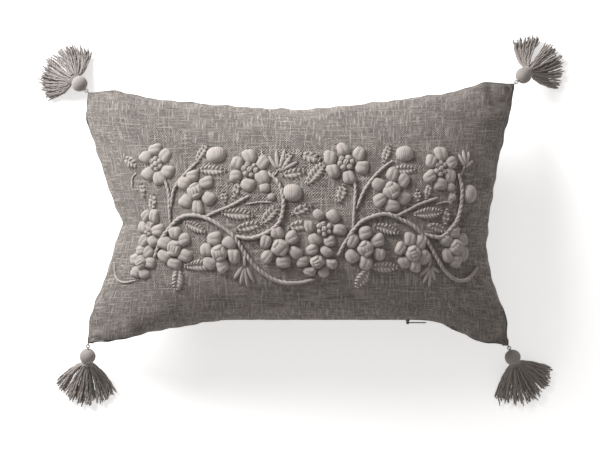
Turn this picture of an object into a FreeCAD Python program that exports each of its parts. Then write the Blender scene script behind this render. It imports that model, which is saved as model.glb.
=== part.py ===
import FreeCAD, Part
import math
import os
from dataclasses import dataclass
from FreeCAD import Matrix, Vector

# Lumbar throw pillow lying on its back: an embroidered front panel and a plain back panel sewn
# along four bowed sides, a zip in the straight part of the lower seam, an insert inside, raised
# embroidery on the front, and a tassel on each corner.
# Millimetres. +X runs along the pillow, +Y across it, +Z up out of the embroidered front.
# The origin is the middle of the flat patch that the pillow rests on.

# ---- driving dimensions ----------------------------------------------------------------------
COVER_HALF_LENGTH = 241.0      # centre to corner along X, stuffed, before each corner's own reach
COVER_HALF_WIDTH = 145.0       # centre to corner along Y, stuffed, before each corner's own reach
LEFT_BOW = 40.0                # how far the left side pulls in at its middle
RIGHT_BOW = 31.0               # how far the right side pulls in
UPPER_BOW = 26.5               # how far the upper long side pulls in
LOWER_BOW = 26.0               # how far the lower long side pulls in
LEFT_BOW_POWER = 1.2           # shape of each side's bow: 1 is a V, 2 is round
RIGHT_BOW_POWER = 1.4
UPPER_BOW_POWER = 1.4
LOWER_LEFT_POWER = 1.1         # and of the lower side beyond each end of its straight part
LOWER_RIGHT_POWER = 0.85
STRAIGHT_FROM = -85.0          # straight part of the lower side, where the zip is
STRAIGHT_TO = 152.0
LEVEL_HALF = 158.0             # the long sides are level inside this and droop beyond it
SEAM_HEIGHT = 64.0             # seam above the floor at the middle of each side
CORNER_HEIGHT = 28.0           # seam above the floor at the corners, which droop
DROOP_POWER_LONG = 1.7         # how suddenly the long sides droop beyond their straight part
DROOP_POWER_SHORT = 2.2        # and the short sides towards their ends
FRONT_CROWN = 76.0             # crown of the front above the seam
BACK_CROWN = 72.0              # the back would reach this far below the seam if nothing held it
CROWN_POWER = 0.62             # 0.5 is an ellipse, 1 a parabola
CLOTH = 1.6                    # thickness of the cover cloth

INSERT_INSET = 20.0            # insert's own seam, inside the cover's seam
INSERT_GAP = 0.5               # between the cover and the insert
CASING = 0.6                   # thickness of the insert's casing
FILL_GAP = 0.4                 # between the casing and the filling

ZIP_X = 31.0                   # middle of the zip
ZIP_HALF_LENGTH = 110.0        # half of the closed coil
ZIP_SLIT = 1.6                 # half of the slit between the two panels along the zip
SLIT_HALF_LENGTH = 116.0       # the slit is fully open inside this, and closed beyond the fade
SLIT_FADE = 12.0
SLIT_POWER = 12                # how closely the slit keeps to the panels' very edge
COIL_DEPTH = 1.8
COIL_HEIGHT = 1.3
COIL_SPLIT = 0.05              # half of the line between the two coils
TAPE_WIDTH = 10.0
TAPE_THICKNESS = 0.6
STOP_LENGTH = 3.0
SLIDER_LENGTH = 9.0
SLIDER_FROM_END = 18.0         # closed slider's middle, from the end of the coil
SLIDER_WALL = 1.2
SLIDER_SEAM_GAP = 1.4          # from the inside of the cover's seam to the slider
SLIDER_COIL_GAP = 0.35
SLIDER_REACH = 4.6             # how far the slider's two plates reach in over the coils
SLIDER_SLIT_GAP = 0.35         # between the slider's neck and the slit
LUG_RADIUS = 1.6
LUG_THICKNESS = 0.8
PULL_PIN_RADIUS = 0.8
PULL_EYE_RADIUS = 1.9
PULL_PIN_GAP = 0.3
PULL_LENGTH = 21.0
PULL_WIDTH = 4.6
PULL_THICKNESS = 1.2
PULL_EYE_SLACK = 0.5           # how much less high than the slider's neck the pull's eye is
PULL_STALK = 1.2               # from the lugs to the wide part of the tab
PULL_OVERLAP = 1.0             # how far the stalk runs into the tab
PULL_CORNER = 1.8              # rounding of the tab's free end
SLIDER_NECK_SETBACK = 2.0      # neck shorter than the slider by this at each end
NECK_PROUD = 0.9               # how far the neck stands out of the seam
LUG_ROOT = 0.5                 # how far the lugs' arms run into the neck

STAPLE_THREAD = 0.5            # radius of the stitched bar at each corner
STAPLE_HALF = 1.7              # half height of the bar, to the middle of its arms
STAPLE_REACH = 2.6             # from the corner's tip to the bar
RING_RADIUS = 2.0              # thread ring, to the middle of its thread
RING_THREAD = 0.5
LINK_GAP = 0.3                 # slack between the ring, the bar and the loop
LOOP_THREAD = 0.5
HEAD_RADIUS = 9.3              # wrapped ball
HEAD_GAP = 0.8                 # from the ring to the ball
NECK_LENGTH = 4.0
NECK_RADIUS = 6.6
SKIRT_ROOT = (6.4, 6.3)        # half width and half thickness under the neck
SKIRT_SWELL = 0.62             # half width half way down, as a share of the half width at the tips
SKIRT_MIDDLE_HALF = 6.0        # half thickness half way down
SKIRT_TIP_HALF = 4.0           # half thickness at the tips
SKIRT_FLOOR_GAP = 0.05
LOOP_DEPTH_SHARE = 0.8         # the loop's ends reach this share of the ball's radius from its middle

STITCH_SINK = 0.7              # how deep the embroidery's underside sits in the cloth
STITCH_MARGIN = 3.0            # no stitching nearer than this to the panel's edge
REPEAT_PITCH = 204.0           # from one repeat of the embroidery to the next
PETALS = 6
PETAL_HALF_LENGTH = 6.65
PETAL_HALF_WIDTH = 6.0
PETAL_HEIGHT = 2.6
PETAL_RING = 12.5              # flower centre to petal centre
CENTRE_RADIUS = 4.6
CENTRE_HEIGHT = 3.0
BUD_HEIGHT = 4.2
BUD_FULL_RADIUS = 8.0          # smaller buds are lower in proportion
LEAF_HEIGHT = 2.2
STEM_WIDTH = 4.2
STEM_HEIGHT = 2.0
SPRIG_WIDTH = 2.8
SPRIG_HEIGHT = 1.4
CORD_ROWS = (-1.0, -0.6, 0.0, 0.6, 1.0)   # poles across a stitched cord, in half widths
CORD_POLE_RISE = 1.3           # the poles stand this much higher than the cord itself
CORD_STEP = 6.0                # spacing of the poles along a cord



@dataclass(frozen=True)
class Corner:
    """One corner of the cover and the tassel that hangs from it."""

    sign_x: int
    sign_y: int
    azimuth: float             # direction in which the tassel lies (degrees)
    reach_x: float             # how much further out than the half length the corner is
    reach_y: float             # and than the half width
    skirt_length: float        # the tassel's yarns below its neck
    skirt_half: float          # half the spread of the yarns' tips


CORNERS = {
    "tl": Corner(-1, 1, 135.0, 4.5, -2.0, 41.0, 22.0),
    "tr": Corner(1, 1, 42.0, 7.5, 8.0, 42.0, 24.0),
    "bl": Corner(-1, -1, -94.0, 5.0, 2.4, 47.0, 30.0),
    "br": Corner(1, -1, -68.0, 0.5, 4.8, 47.0, 30.0),
}

# ---- embroidery layout, left repeat, on the front seen from above ------------------------------
# flowers: centre, turn of the first petal (degrees)
FLOWERS = [
    ((-156, 57), 95), ((-114, 28), 90), ((-54, 51), 88), ((-137, -34), 88),
    ((-88, -41), 100), ((-23, -34), 90), ((-169, -15), 100), ((-179, -49), 90),
]
# buds: centre, half width, half height
BUDS = [((-94, 66), 10, 9), ((-8, 27), 10, 9.5), ((-40, 30), 5, 5), ((-32, 22), 5, 5)]
# leaves: centre, length, width, direction (degrees)
LEAVES = [
    ((-110, 70), 20, 7, 62), ((-97, 50), 30, 9, -5), ((-11, 47), 22, 9, 40),
    ((-73, 28), 18, 7, 75), ((-84, 18), 16, 6, 20), ((-68, 2), 34, 10, -5),
    ((-33, 1), 24, 9, 45), ((-54, -13), 18, 7, -20), ((-117, -12), 26, 9, -24),
    ((-111, -54), 34, 11, 0), ((-136, -68), 26, 9, -86), ((-162, 13), 16, 7, 20),
]
STEMS = [
    [(-146, 38), (-143, 24), (-143, 6), (-144, -6)],
    [(-141, 22), (-134, 38), (-121, 49), (-108, 57)],
    [(-99, 1), (-84, 8), (-66, 13), (-56, 20)],
    [(-58, 12), (-48, 15), (-36, 14)],
    [(-160, -45), (-155, -28), (-145, -12), (-133, -2), (-117, 0), (-100, -3), (-84, -11),
     (-71, -20), (-61, -33), (-49, -49), (-35, -60), (-20, -64), (0, -64), (14, -62)],
    [(-32, 37), (-22, 26), (-16, 10), (-18, -6), (-29, -16), (-46, -22), (-62, -20)],
    [(-186, -60), (-180, -64), (-176, -60), (-180, -45)],
]
# sprigs: root, tip
SPRIGS = [
    ((-23, 42), (-28, 58)), ((-22, 42), (-20, 62)), ((-20, 42), (-12, 58)), ((-20, 41), (-4, 52)),
    ((-52, -42), (-60, -58)), ((-52, -42), (-54, -62)), ((-52, -42), (-46, -62)),
]

# ---- cover and insert surfaces ---------------------------------------------------------------
POLES_ALONG = 33
POLES_ACROSS = 19
EDGE_ANGLE = 75.0              # spacing of the poles: closer together towards the seam
REST_CUT = 1.0                 # the back's poles go this far below the floor before the flat cut
TINY = 0.01


def spread(count):
    """Positions from -1 to 1, closer together towards both ends."""
    edge = math.radians(EDGE_ANGLE)
    step = 2.0 * edge / (count - 1)
    return [math.sin(-edge + step * i) / math.sin(edge) for i in range(count)]


def beyond(x, start, end):
    """0 up to a start, rising to 1 at an end."""
    return max(0.0, (x - start) / (end - start))


def blended(near, far, share):
    """A value blended between two corners' by a share from -1 to 1."""
    return near * (1 - share) / 2 + far * (1 + share) / 2


def end_x(u, v):
    """Distance from the middle to the left (u < 0) or right end if its side had no bow."""
    if u < 0:
        return COVER_HALF_LENGTH + blended(CORNERS["bl"].reach_x, CORNERS["tl"].reach_x, v)
    return COVER_HALF_LENGTH + blended(CORNERS["br"].reach_x, CORNERS["tr"].reach_x, v)


def side_bow(u, v):
    """How far the left (u < 0) or right seam pulls in at v."""
    if u < 0:
        return LEFT_BOW * (1.0 - abs(v) ** LEFT_BOW_POWER)
    return RIGHT_BOW * (1.0 - abs(v) ** RIGHT_BOW_POWER)


def lower_side(u):
    """Distance from the middle to the lower seam, which is straight along the zip."""
    x = u * COVER_HALF_LENGTH
    if u < 0:
        flank = beyond(-x, -STRAIGHT_FROM, COVER_HALF_LENGTH) ** LOWER_LEFT_POWER
        corner = CORNERS["bl"].reach_y
    else:
        flank = beyond(x, STRAIGHT_TO, COVER_HALF_LENGTH) ** LOWER_RIGHT_POWER
        corner = CORNERS["br"].reach_y
    return COVER_HALF_WIDTH + corner * flank - LOWER_BOW * (1.0 - flank)


def footprint(u, v, inset):
    """Plan position of a surface point; inset moves the outline inwards."""
    x = (end_x(u, v) - inset) * u - side_bow(u, v) * u ** 3
    end_y = COVER_HALF_WIDTH
    bow = COVER_HALF_WIDTH - lower_side(u)
    if v > 0:
        end_y += blended(CORNERS["tl"].reach_y, CORNERS["tr"].reach_y, u)
        bow = UPPER_BOW * (1.0 - abs(u) ** UPPER_BOW_POWER)
    y = (end_y - inset) * v - bow * v ** 3
    return x, y


def seam_level(u, v):
    """Height of the seam, level along the middle of the sides and drooping into the corners."""
    flank = beyond(abs(u) * COVER_HALF_LENGTH, LEVEL_HALF, COVER_HALF_LENGTH)
    droop = flank ** DROOP_POWER_LONG * abs(v) ** DROOP_POWER_SHORT
    return SEAM_HEIGHT - (SEAM_HEIGHT - CORNER_HEIGHT) * droop


def slit_offset(u, v):
    """How far a panel's edge stands off the seam level along the zip."""
    from_middle = abs(u * COVER_HALF_LENGTH - ZIP_X)
    along = min(1.0, max(0.0, (SLIT_HALF_LENGTH + SLIT_FADE - from_middle) / SLIT_FADE))
    return ZIP_SLIT * along * max(0.0, -v) ** SLIT_POWER


def crown(u, v):
    """0 on the seam, 1 at the middle."""
    return (max(0.0, 1.0 - u * u) * max(0.0, 1.0 - v * v)) ** CROWN_POWER


def skin(side, inset, shrink, floor, slit):
    """B-spline skin of the front (side 1) or the back (side -1)."""
    rise = FRONT_CROWN if side > 0 else BACK_CROWN
    share_u = 1.0 - inset / COVER_HALF_LENGTH
    share_v = 1.0 - inset / COVER_HALF_WIDTH
    rows = []
    for u in spread(POLES_ALONG):
        row = []
        for v in spread(POLES_ACROSS):
            x, y = footprint(u, v, inset)
            z = seam_level(share_u * u, share_v * v) + side * (rise - shrink) * crown(u, v)
            if slit:
                z += side * slit_offset(u, v)
            row.append(Vector(x, y, max(z, floor)))
        rows.append(row)
    return pole_surface(rows)


def pole_surface(rows):
    """Clamped cubic B-spline surface over a grid of poles."""
    def knots(count):
        inner = count - 4
        return [4] + [1] * inner + [4], [float(i) for i in range(inner + 2)]

    u_mults, u_knots = knots(len(rows))
    v_mults, v_knots = knots(len(rows[0]))
    surface = Part.BSplineSurface()
    surface.buildFromPolesMultsKnots(rows, u_mults, v_mults, u_knots, v_knots, False, False, 3, 3)
    return surface


def rim_faces(outer, inner):
    """The four strips between the edges of two skins."""
    u0, u1, v0, v1 = outer.bounds()
    pairs = [
        (outer.uIso(u0), inner.uIso(u0)),
        (outer.uIso(u1), inner.uIso(u1)),
        (outer.vIso(v0), inner.vIso(v0)),
        (outer.vIso(v1), inner.vIso(v1)),
    ]
    return [Part.makeRuledSurface(a.toShape(), b.toShape()) for a, b in pairs]


def closed_solid(faces):
    """Sew faces into one solid whose outside points out."""
    shell = Part.makeShell(faces)
    shell.sewShape()
    solid = Part.makeSolid(Part.Shell(shell.Faces))
    if solid.Volume < 0:
        solid.reverse()
    return solid


def panel(side, floor):
    """One cloth panel: outer skin, inner skin and the strips of its edge."""
    outer = skin(side, 0.0, 0.0, floor[0], True)
    inner = skin(side, CLOTH, CLOTH, floor[1], True)
    return closed_solid([outer.toShape(), inner.toShape()] + rim_faces(outer, inner)), outer


def bag(edge_inset, inside):
    """Closed bag shape that stays this far inside the cover's inner skin."""
    shrink = CLOTH + inside
    front = skin(1, edge_inset, shrink, -REST_CUT, False)
    back = skin(-1, edge_inset, shrink, shrink, False)
    return closed_solid([front.toShape(), back.toShape()])


def save(node, shape):
    """Write one node's STEP file."""
    shape.exportStep(os.path.join("parts", node + ".step"))
    print(node, "solids", len(shape.Solids), "volume", round(shape.Volume, 1), shape.isValid())


def make_cover():
    """Front and back panels; the back is cut flat where it rests. Returns the front's skin."""
    front, front_skin = panel(1, (-REST_CUT, -REST_CUT))
    back, _ = panel(-1, (-REST_CUT, CLOTH))
    below = Part.makeBox(
        4 * COVER_HALF_LENGTH, 4 * COVER_HALF_WIDTH, 2 * BACK_CROWN,
        Vector(-2 * COVER_HALF_LENGTH, -2 * COVER_HALF_WIDTH, -2 * BACK_CROWN))
    save("front_panel", front)
    save("back_panel", back.cut(below))
    return front_skin


def make_insert():
    """Casing as a hollow bag, and the filling inside it."""
    outer = bag(INSERT_INSET, INSERT_GAP)
    inner = bag(INSERT_INSET + CASING, INSERT_GAP + CASING)
    save("insert_casing", outer.cut(inner))
    filled = INSERT_GAP + CASING + FILL_GAP
    save("fibre_fill", bag(INSERT_INSET + CASING + FILL_GAP, filled))


# ---- zip ---------------------------------------------------------------------------------------
def block(x0, x1, y0, y1, z0, z1):
    """Box between two opposite corners."""
    return Part.makeBox(x1 - x0, y1 - y0, z1 - z0, Vector(x0, y0, z0))


def upright(radius, x, y, z0, z1):
    """Vertical cylinder."""
    return Part.makeCylinder(radius, z1 - z0, Vector(x, y, z0))


SEAM_Y = -(COVER_HALF_WIDTH - LOWER_BOW)
SLIDER_X = ZIP_X + ZIP_HALF_LENGTH - SLIDER_FROM_END
SLIDER_FACE_Y = SEAM_Y + CLOTH + SLIDER_SEAM_GAP
COIL_Y = SLIDER_FACE_Y + SLIDER_WALL + SLIDER_COIL_GAP
TAPE_Y = COIL_Y + COIL_DEPTH
NECK_HALF = ZIP_SLIT - SLIDER_SLIT_GAP
EYE_HALF = NECK_HALF - PULL_EYE_SLACK
NECK_END_Y = SEAM_Y - NECK_PROUD
PIVOT_Y = NECK_END_Y - PULL_PIN_GAP - PULL_EYE_RADIUS


def make_zip_chain():
    """Tapes, coils and stops. The coils meet at the level of the seam."""
    length = ZIP_HALF_LENGTH + STOP_LENGTH
    mid = COIL_SPLIT + COIL_HEIGHT / 2
    for name, side in (("front", 1), ("back", -1)):
        z = sorted((SEAM_HEIGHT + side * COIL_SPLIT, SEAM_HEIGHT + side * (COIL_SPLIT + COIL_HEIGHT)))
        coil = block(ZIP_X - ZIP_HALF_LENGTH, ZIP_X + ZIP_HALF_LENGTH, COIL_Y, TAPE_Y, z[0], z[1])
        save("zipper_coil_" + name, coil)
        low = SEAM_HEIGHT + side * mid - TAPE_THICKNESS / 2
        tape = block(ZIP_X - length, ZIP_X + length, TAPE_Y, TAPE_Y + TAPE_WIDTH,
                     low, low + TAPE_THICKNESS)
        save("zipper_tape_" + name, tape)
    half = COIL_SPLIT + COIL_HEIGHT
    for name, start in (("bottom", ZIP_X - length), ("top", ZIP_X + ZIP_HALF_LENGTH)):
        stop = block(start, start + STOP_LENGTH, COIL_Y, TAPE_Y,
                     SEAM_HEIGHT - half, SEAM_HEIGHT + half)
        save("zipper_" + name + "_stop", stop)


def make_slider():
    """Slider: two plates over the coils, a wall, a neck through the slit, two lugs and a pin."""
    x0 = SLIDER_X - SLIDER_LENGTH / 2
    x1 = SLIDER_X + SLIDER_LENGTH / 2
    inside = COIL_SPLIT + COIL_HEIGHT + SLIDER_COIL_GAP
    outside = inside + SLIDER_WALL
    body = block(x0, x1, SLIDER_FACE_Y, SLIDER_FACE_Y + SLIDER_WALL,
                 SEAM_HEIGHT - outside, SEAM_HEIGHT + outside)
    for side in (1, -1):
        z = sorted((SEAM_HEIGHT + side * inside, SEAM_HEIGHT + side * outside))
        body = body.fuse(block(x0, x1, SLIDER_FACE_Y, SLIDER_FACE_Y + SLIDER_REACH, z[0], z[1]))
    neck = block(x0 + SLIDER_NECK_SETBACK, x1 - SLIDER_NECK_SETBACK, NECK_END_Y, SLIDER_FACE_Y,
                 SEAM_HEIGHT - NECK_HALF, SEAM_HEIGHT + NECK_HALF)
    body = body.fuse(neck)
    for side in (1, -1):
        near = SEAM_HEIGHT + side * (EYE_HALF + PULL_PIN_GAP)
        far = near + side * LUG_THICKNESS
        low, high = sorted((near, far))
        body = body.fuse(upright(LUG_RADIUS, SLIDER_X, PIVOT_Y, low, high))
        arm = block(SLIDER_X - LUG_RADIUS, SLIDER_X + LUG_RADIUS, PIVOT_Y, NECK_END_Y + LUG_ROOT,
                    low, high)
        body = body.fuse(arm)
    reach = EYE_HALF + PULL_PIN_GAP + LUG_THICKNESS
    pin = upright(PULL_PIN_RADIUS, SLIDER_X, PIVOT_Y, SEAM_HEIGHT - reach, SEAM_HEIGHT + reach)
    save("zipper_slider", body.fuse(pin).removeSplitter())


def make_pull():
    """Flat pull tab lying along the seam, with an eye on the slider's pin."""
    hole = PULL_PIN_RADIUS + PULL_PIN_GAP
    low = SEAM_HEIGHT - EYE_HALF
    high = SEAM_HEIGHT + EYE_HALF
    eye = upright(PULL_EYE_RADIUS, SLIDER_X, PIVOT_Y, low, high)
    tab_start = SLIDER_X + LUG_RADIUS + PULL_STALK
    stalk = block(SLIDER_X, tab_start + PULL_OVERLAP, PIVOT_Y - PULL_THICKNESS / 2,
                  PIVOT_Y + PULL_THICKNESS / 2, low, high)
    tab = block(tab_start, SLIDER_X + PULL_LENGTH, PIVOT_Y - PULL_THICKNESS / 2,
                PIVOT_Y + PULL_THICKNESS / 2, SEAM_HEIGHT - PULL_WIDTH / 2,
                SEAM_HEIGHT + PULL_WIDTH / 2)
    tip_edges = [e for e in tab.Edges if abs(e.CenterOfMass.x - SLIDER_X - PULL_LENGTH) < TINY
                 and abs(e.Length - PULL_THICKNESS) < TINY]
    tab = tab.makeFillet(PULL_CORNER, tip_edges)
    pull = eye.fuse(stalk).fuse(tab)
    save("zipper_pull", pull.cut(upright(hole, SLIDER_X, PIVOT_Y, low - 1, high + 1)))


# ---- tassels -------------------------------------------------------------------------------------
RING_OFFSET = RING_RADIUS - RING_THREAD - LINK_GAP - STAPLE_THREAD   # bar to ring centre
PIVOT_REACH = RING_OFFSET + RING_RADIUS                              # bar to the lift axis
LOOP_BEND = RING_THREAD + LINK_GAP + LOOP_THREAD
HEAD_REACH = RING_THREAD + HEAD_GAP + HEAD_RADIUS                    # lift axis to ball centre
NECK_START = HEAD_REACH + math.sqrt(HEAD_RADIUS ** 2 - NECK_RADIUS ** 2)
SKIRT_START = NECK_START + NECK_LENGTH


def tassel_tilt(corner):
    """Angle at which the tassel slopes down so that the skirt's tips lie on the floor."""
    drop = CORNER_HEIGHT - SKIRT_TIP_HALF - SKIRT_FLOOR_GAP
    return math.degrees(math.asin(drop / (SKIRT_START + corner.skirt_length)))


def corner_tip(corner):
    """Where the seam ends at a corner."""
    return Vector(corner.sign_x * (COVER_HALF_LENGTH + corner.reach_x),
                  corner.sign_y * (COVER_HALF_WIDTH + corner.reach_y), CORNER_HEIGHT)


def staple():
    """Stitched bar: two short arms out of the corner and a vertical bar. Local frame: bar at 0."""
    arms = []
    for side in (1, -1):
        arms.append(Part.makeCylinder(STAPLE_THREAD, STAPLE_REACH,
                                      Vector(-STAPLE_REACH, 0, side * STAPLE_HALF), Vector(1, 0, 0)))
        arms.append(Part.makeSphere(STAPLE_THREAD, Vector(0, 0, side * STAPLE_HALF)))
    bar = Part.makeCylinder(STAPLE_THREAD, 2 * STAPLE_HALF, Vector(0, 0, -STAPLE_HALF))
    plate = Part.makeCylinder(STAPLE_THREAD, 2 * STAPLE_HALF,
                              Vector(-STAPLE_REACH, 0, -STAPLE_HALF))
    return bar.multiFuse(arms + [plate])


def ring():
    """Thread ring lying flat round the bar."""
    return Part.makeTorus(RING_RADIUS, RING_THREAD, Vector(RING_OFFSET, 0, 0))


def loop(head):
    """Hanging loop: a bend round the ring's thread and two arms that run into the ball."""
    end = HEAD_REACH - HEAD_RADIUS * LOOP_DEPTH_SHARE
    top = Part.LineSegment(Vector(end, 0, LOOP_BEND), Vector(0, 0, LOOP_BEND)).toShape()
    bend = Part.Arc(Vector(0, 0, LOOP_BEND), Vector(-LOOP_BEND, 0, 0),
                    Vector(0, 0, -LOOP_BEND)).toShape()
    low = Part.LineSegment(Vector(0, 0, -LOOP_BEND), Vector(end, 0, -LOOP_BEND)).toShape()
    path = Part.Wire([top, bend, low])
    profile = Part.Wire(Part.makeCircle(LOOP_THREAD, Vector(end, 0, LOOP_BEND), Vector(1, 0, 0)))
    return path.makePipeShell([profile], True, False).cut(head)


def ellipse_wire(x, half_width, half_height):
    """Closed ellipse across the tassel at this distance from the lift axis."""
    ellipse = Part.Ellipse(Vector(x, half_width, 0), Vector(x, 0, half_height), Vector(x, 0, 0))
    return Part.Wire(ellipse.toShape())


def skirt(corner):
    """Closed outer shape of the fanned-out yarns."""
    sections = [
        ellipse_wire(SKIRT_START, *SKIRT_ROOT),
        ellipse_wire(SKIRT_START + corner.skirt_length / 2, corner.skirt_half * SKIRT_SWELL,
                     SKIRT_MIDDLE_HALF),
        ellipse_wire(SKIRT_START + corner.skirt_length, corner.skirt_half, SKIRT_TIP_HALF),
    ]
    return Part.makeLoft(sections, True)


def make_tassel(name):
    """The six pieces of one corner's tassel."""
    corner = CORNERS[name]
    tip = corner_tip(corner)
    azimuth = corner.azimuth
    direction = Vector(math.cos(math.radians(azimuth)), math.sin(math.radians(azimuth)), 0)
    bar = tip + direction * (STAPLE_REACH + STAPLE_THREAD)
    pivot = bar + direction * PIVOT_REACH

    def place(shape, at, tilt):
        turned = shape.copy()
        turned.rotate(Vector(0, 0, 0), Vector(0, 1, 0), tilt)
        turned.rotate(Vector(0, 0, 0), Vector(0, 0, 1), azimuth)
        turned.translate(at)
        return turned

    head = Part.makeSphere(HEAD_RADIUS, Vector(HEAD_REACH, 0, 0))
    neck = Part.makeCylinder(NECK_RADIUS, NECK_LENGTH + HEAD_RADIUS,
                             Vector(NECK_START - HEAD_RADIUS, 0, 0), Vector(1, 0, 0)).cut(head)
    neck = max(neck.Solids, key=lambda s: s.CenterOfMass.x)
    tilt = tassel_tilt(corner)
    save("corner_staple_" + name, place(staple(), bar, 0))
    save("tassel_ring_" + name, place(ring(), bar, 0))
    save("tassel_loop_" + name, place(loop(head), pivot, tilt))
    save("tassel_head_" + name, place(head, pivot, tilt))
    save("tassel_neck_" + name, place(neck, pivot, tilt))
    save("tassel_skirt_" + name, place(skirt(corner), pivot, tilt))
    print("joint", name, "bar", bar, "pivot", pivot, "tilt", round(tilt, 3))


# ---- embroidery ------------------------------------------------------------------------------
NEWTON_STEPS = 12
NEWTON_START = 0.77            # the first guess is pulled in towards the middle by this share


def on_panel(x, y, reach):
    """Whether stitching that reaches this far from a plan position stays on the panel."""
    v = y / COVER_HALF_WIDTH
    end, _ = footprint(math.copysign(1.0, x), v, 0.0)
    return abs(x) + reach < abs(end) - STITCH_MARGIN


class Crown:
    """Places stitched pieces on the front panel's outer skin."""

    def __init__(self, surface):
        """Keep the skin and the ends of its two parameters."""
        self.surface = surface
        self.low_u, self.high_u, self.low_v, self.high_v = surface.bounds()

    def at(self, x, y):
        """Point and normal of the skin above a plan position, found by Newton steps."""
        start = NEWTON_START / 2
        u = (self.low_u + self.high_u) / 2
        u += x / COVER_HALF_LENGTH * (self.high_u - self.low_u) * start
        v = (self.low_v + self.high_v) / 2
        v += y / COVER_HALF_WIDTH * (self.high_v - self.low_v) * start
        for _ in range(NEWTON_STEPS):
            point = self.surface.value(u, v)
            du = self.surface.getDN(u, v, 1, 0)
            dv = self.surface.getDN(u, v, 0, 1)
            det = du.x * dv.y - du.y * dv.x
            ex = x - point.x
            ey = y - point.y
            u = min(self.high_u, max(self.low_u, u + (ex * dv.y - ey * dv.x) / det))
            v = min(self.high_v, max(self.low_v, v + (ey * du.x - ex * du.y) / det))
        normal = self.surface.normal(u, v)
        if normal.z < 0:
            normal = normal * -1
        return self.surface.value(u, v), normal

    def seat(self, x, y, turn):
        """Matrix that lays a flat piece on the skin, its first axis turned in plan."""
        point, normal = self.at(x, y)
        along = Vector(math.cos(math.radians(turn)), math.sin(math.radians(turn)), 0)
        along = along - normal * along.dot(normal)
        along.normalize()
        across = normal.cross(along)
        base = point - normal * STITCH_SINK
        return Matrix(along.x, across.x, normal.x, base.x,
                      along.y, across.y, normal.y, base.y,
                      along.z, across.z, normal.z, base.z,
                      0, 0, 0, 1)

    def dome(self, x, y, half_width, half_depth, height, turn):
        """Low padded oval with a flat underside."""
        ball = Part.makeSphere(1.0, Vector(0, 0, 0), Vector(0, 0, 1), 0, 90, 360)
        size = Matrix()
        size.scale(half_width, half_depth, height + STITCH_SINK)
        return ball.transformGeometry(size).transformGeometry(self.seat(x, y, turn))

    def leaf(self, x, y, length, width, height, turn):
        """Padded leaf with two pointed ends and a flat underside."""
        half = length / 2
        arc = Part.Arc(Vector(-half, 0, 0), Vector(0, width / 2, 0), Vector(half, 0, 0)).toShape()
        chord = Part.LineSegment(Vector(half, 0, 0), Vector(-half, 0, 0)).toShape()
        spindle = Part.Face(Part.Wire([arc, chord])).revolve(Vector(0, 0, 0), Vector(1, 0, 0), 180)
        size = Matrix()
        size.scale(1.0, 1.0, (height + STITCH_SINK) / (width / 2))
        return spindle.transformGeometry(size).transformGeometry(self.seat(x, y, turn))

    def strip(self, points, width, height):
        """Raised cord that follows a line over the skin, tapering out at both ends."""
        curve = Part.BSplineCurve()
        if len(points) > 2:
            curve.interpolate([Vector(x, y, 0) for x, y in points])
        else:
            curve = Part.LineSegment(Vector(*points[0], 0), Vector(*points[1], 0)).toBSpline()
        length = curve.length()
        count = max(len(CORD_ROWS) + 1, int(length / CORD_STEP))
        first = curve.FirstParameter
        last = curve.LastParameter
        top = []
        bottom = []
        for i in range(count + 1):
            t = first + (last - first) * i / count
            centre = curve.value(t)
            tangent = curve.tangent(t)[0]
            side = Vector(-tangent.y, tangent.x, 0)
            end = 0.0 if i in (0, count) else 1.0
            top_row = []
            bottom_row = []
            for s in CORD_ROWS:
                foot = centre + side * (s * width / 2)
                point, normal = self.at(foot.x, foot.y)
                middle = 0.0 if abs(s) == 1.0 else 1.0
                top_row.append(point + normal * (height * CORD_POLE_RISE * end * middle))
                bottom_row.append(point - normal * (STITCH_SINK * end * middle))
            top.append(top_row)
            bottom.append(bottom_row)
        return closed_solid([pole_surface(top).toShape(), pole_surface(bottom).toShape()])


def make_flowers(crown_skin, shift):
    """Petals and centres of one repeat."""
    petals = []
    centres = []
    for (x, y), turn in FLOWERS:
        for k in range(PETALS):
            angle = turn + 360.0 / PETALS * k
            px = x + shift + PETAL_RING * math.cos(math.radians(angle))
            py = y + PETAL_RING * math.sin(math.radians(angle))
            if on_panel(px, py, PETAL_HALF_LENGTH):
                petals.append(crown_skin.dome(px, py, PETAL_HALF_LENGTH, PETAL_HALF_WIDTH,
                                              PETAL_HEIGHT, angle))
        if on_panel(x + shift, y, CENTRE_RADIUS):
            centres.append(crown_skin.dome(x + shift, y, CENTRE_RADIUS, CENTRE_RADIUS,
                                           CENTRE_HEIGHT, 0))
    return petals, centres


def make_cords(crown_skin, shift, lines, width, height):
    """Stitched cords of one repeat, each ending where the panel does."""
    cords = []
    for points in lines:
        kept = [(x + shift, y) for x, y in points if on_panel(x + shift, y, width)]
        if len(kept) > 1:
            cords.append(crown_skin.strip(kept, width, height))
    return cords


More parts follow.
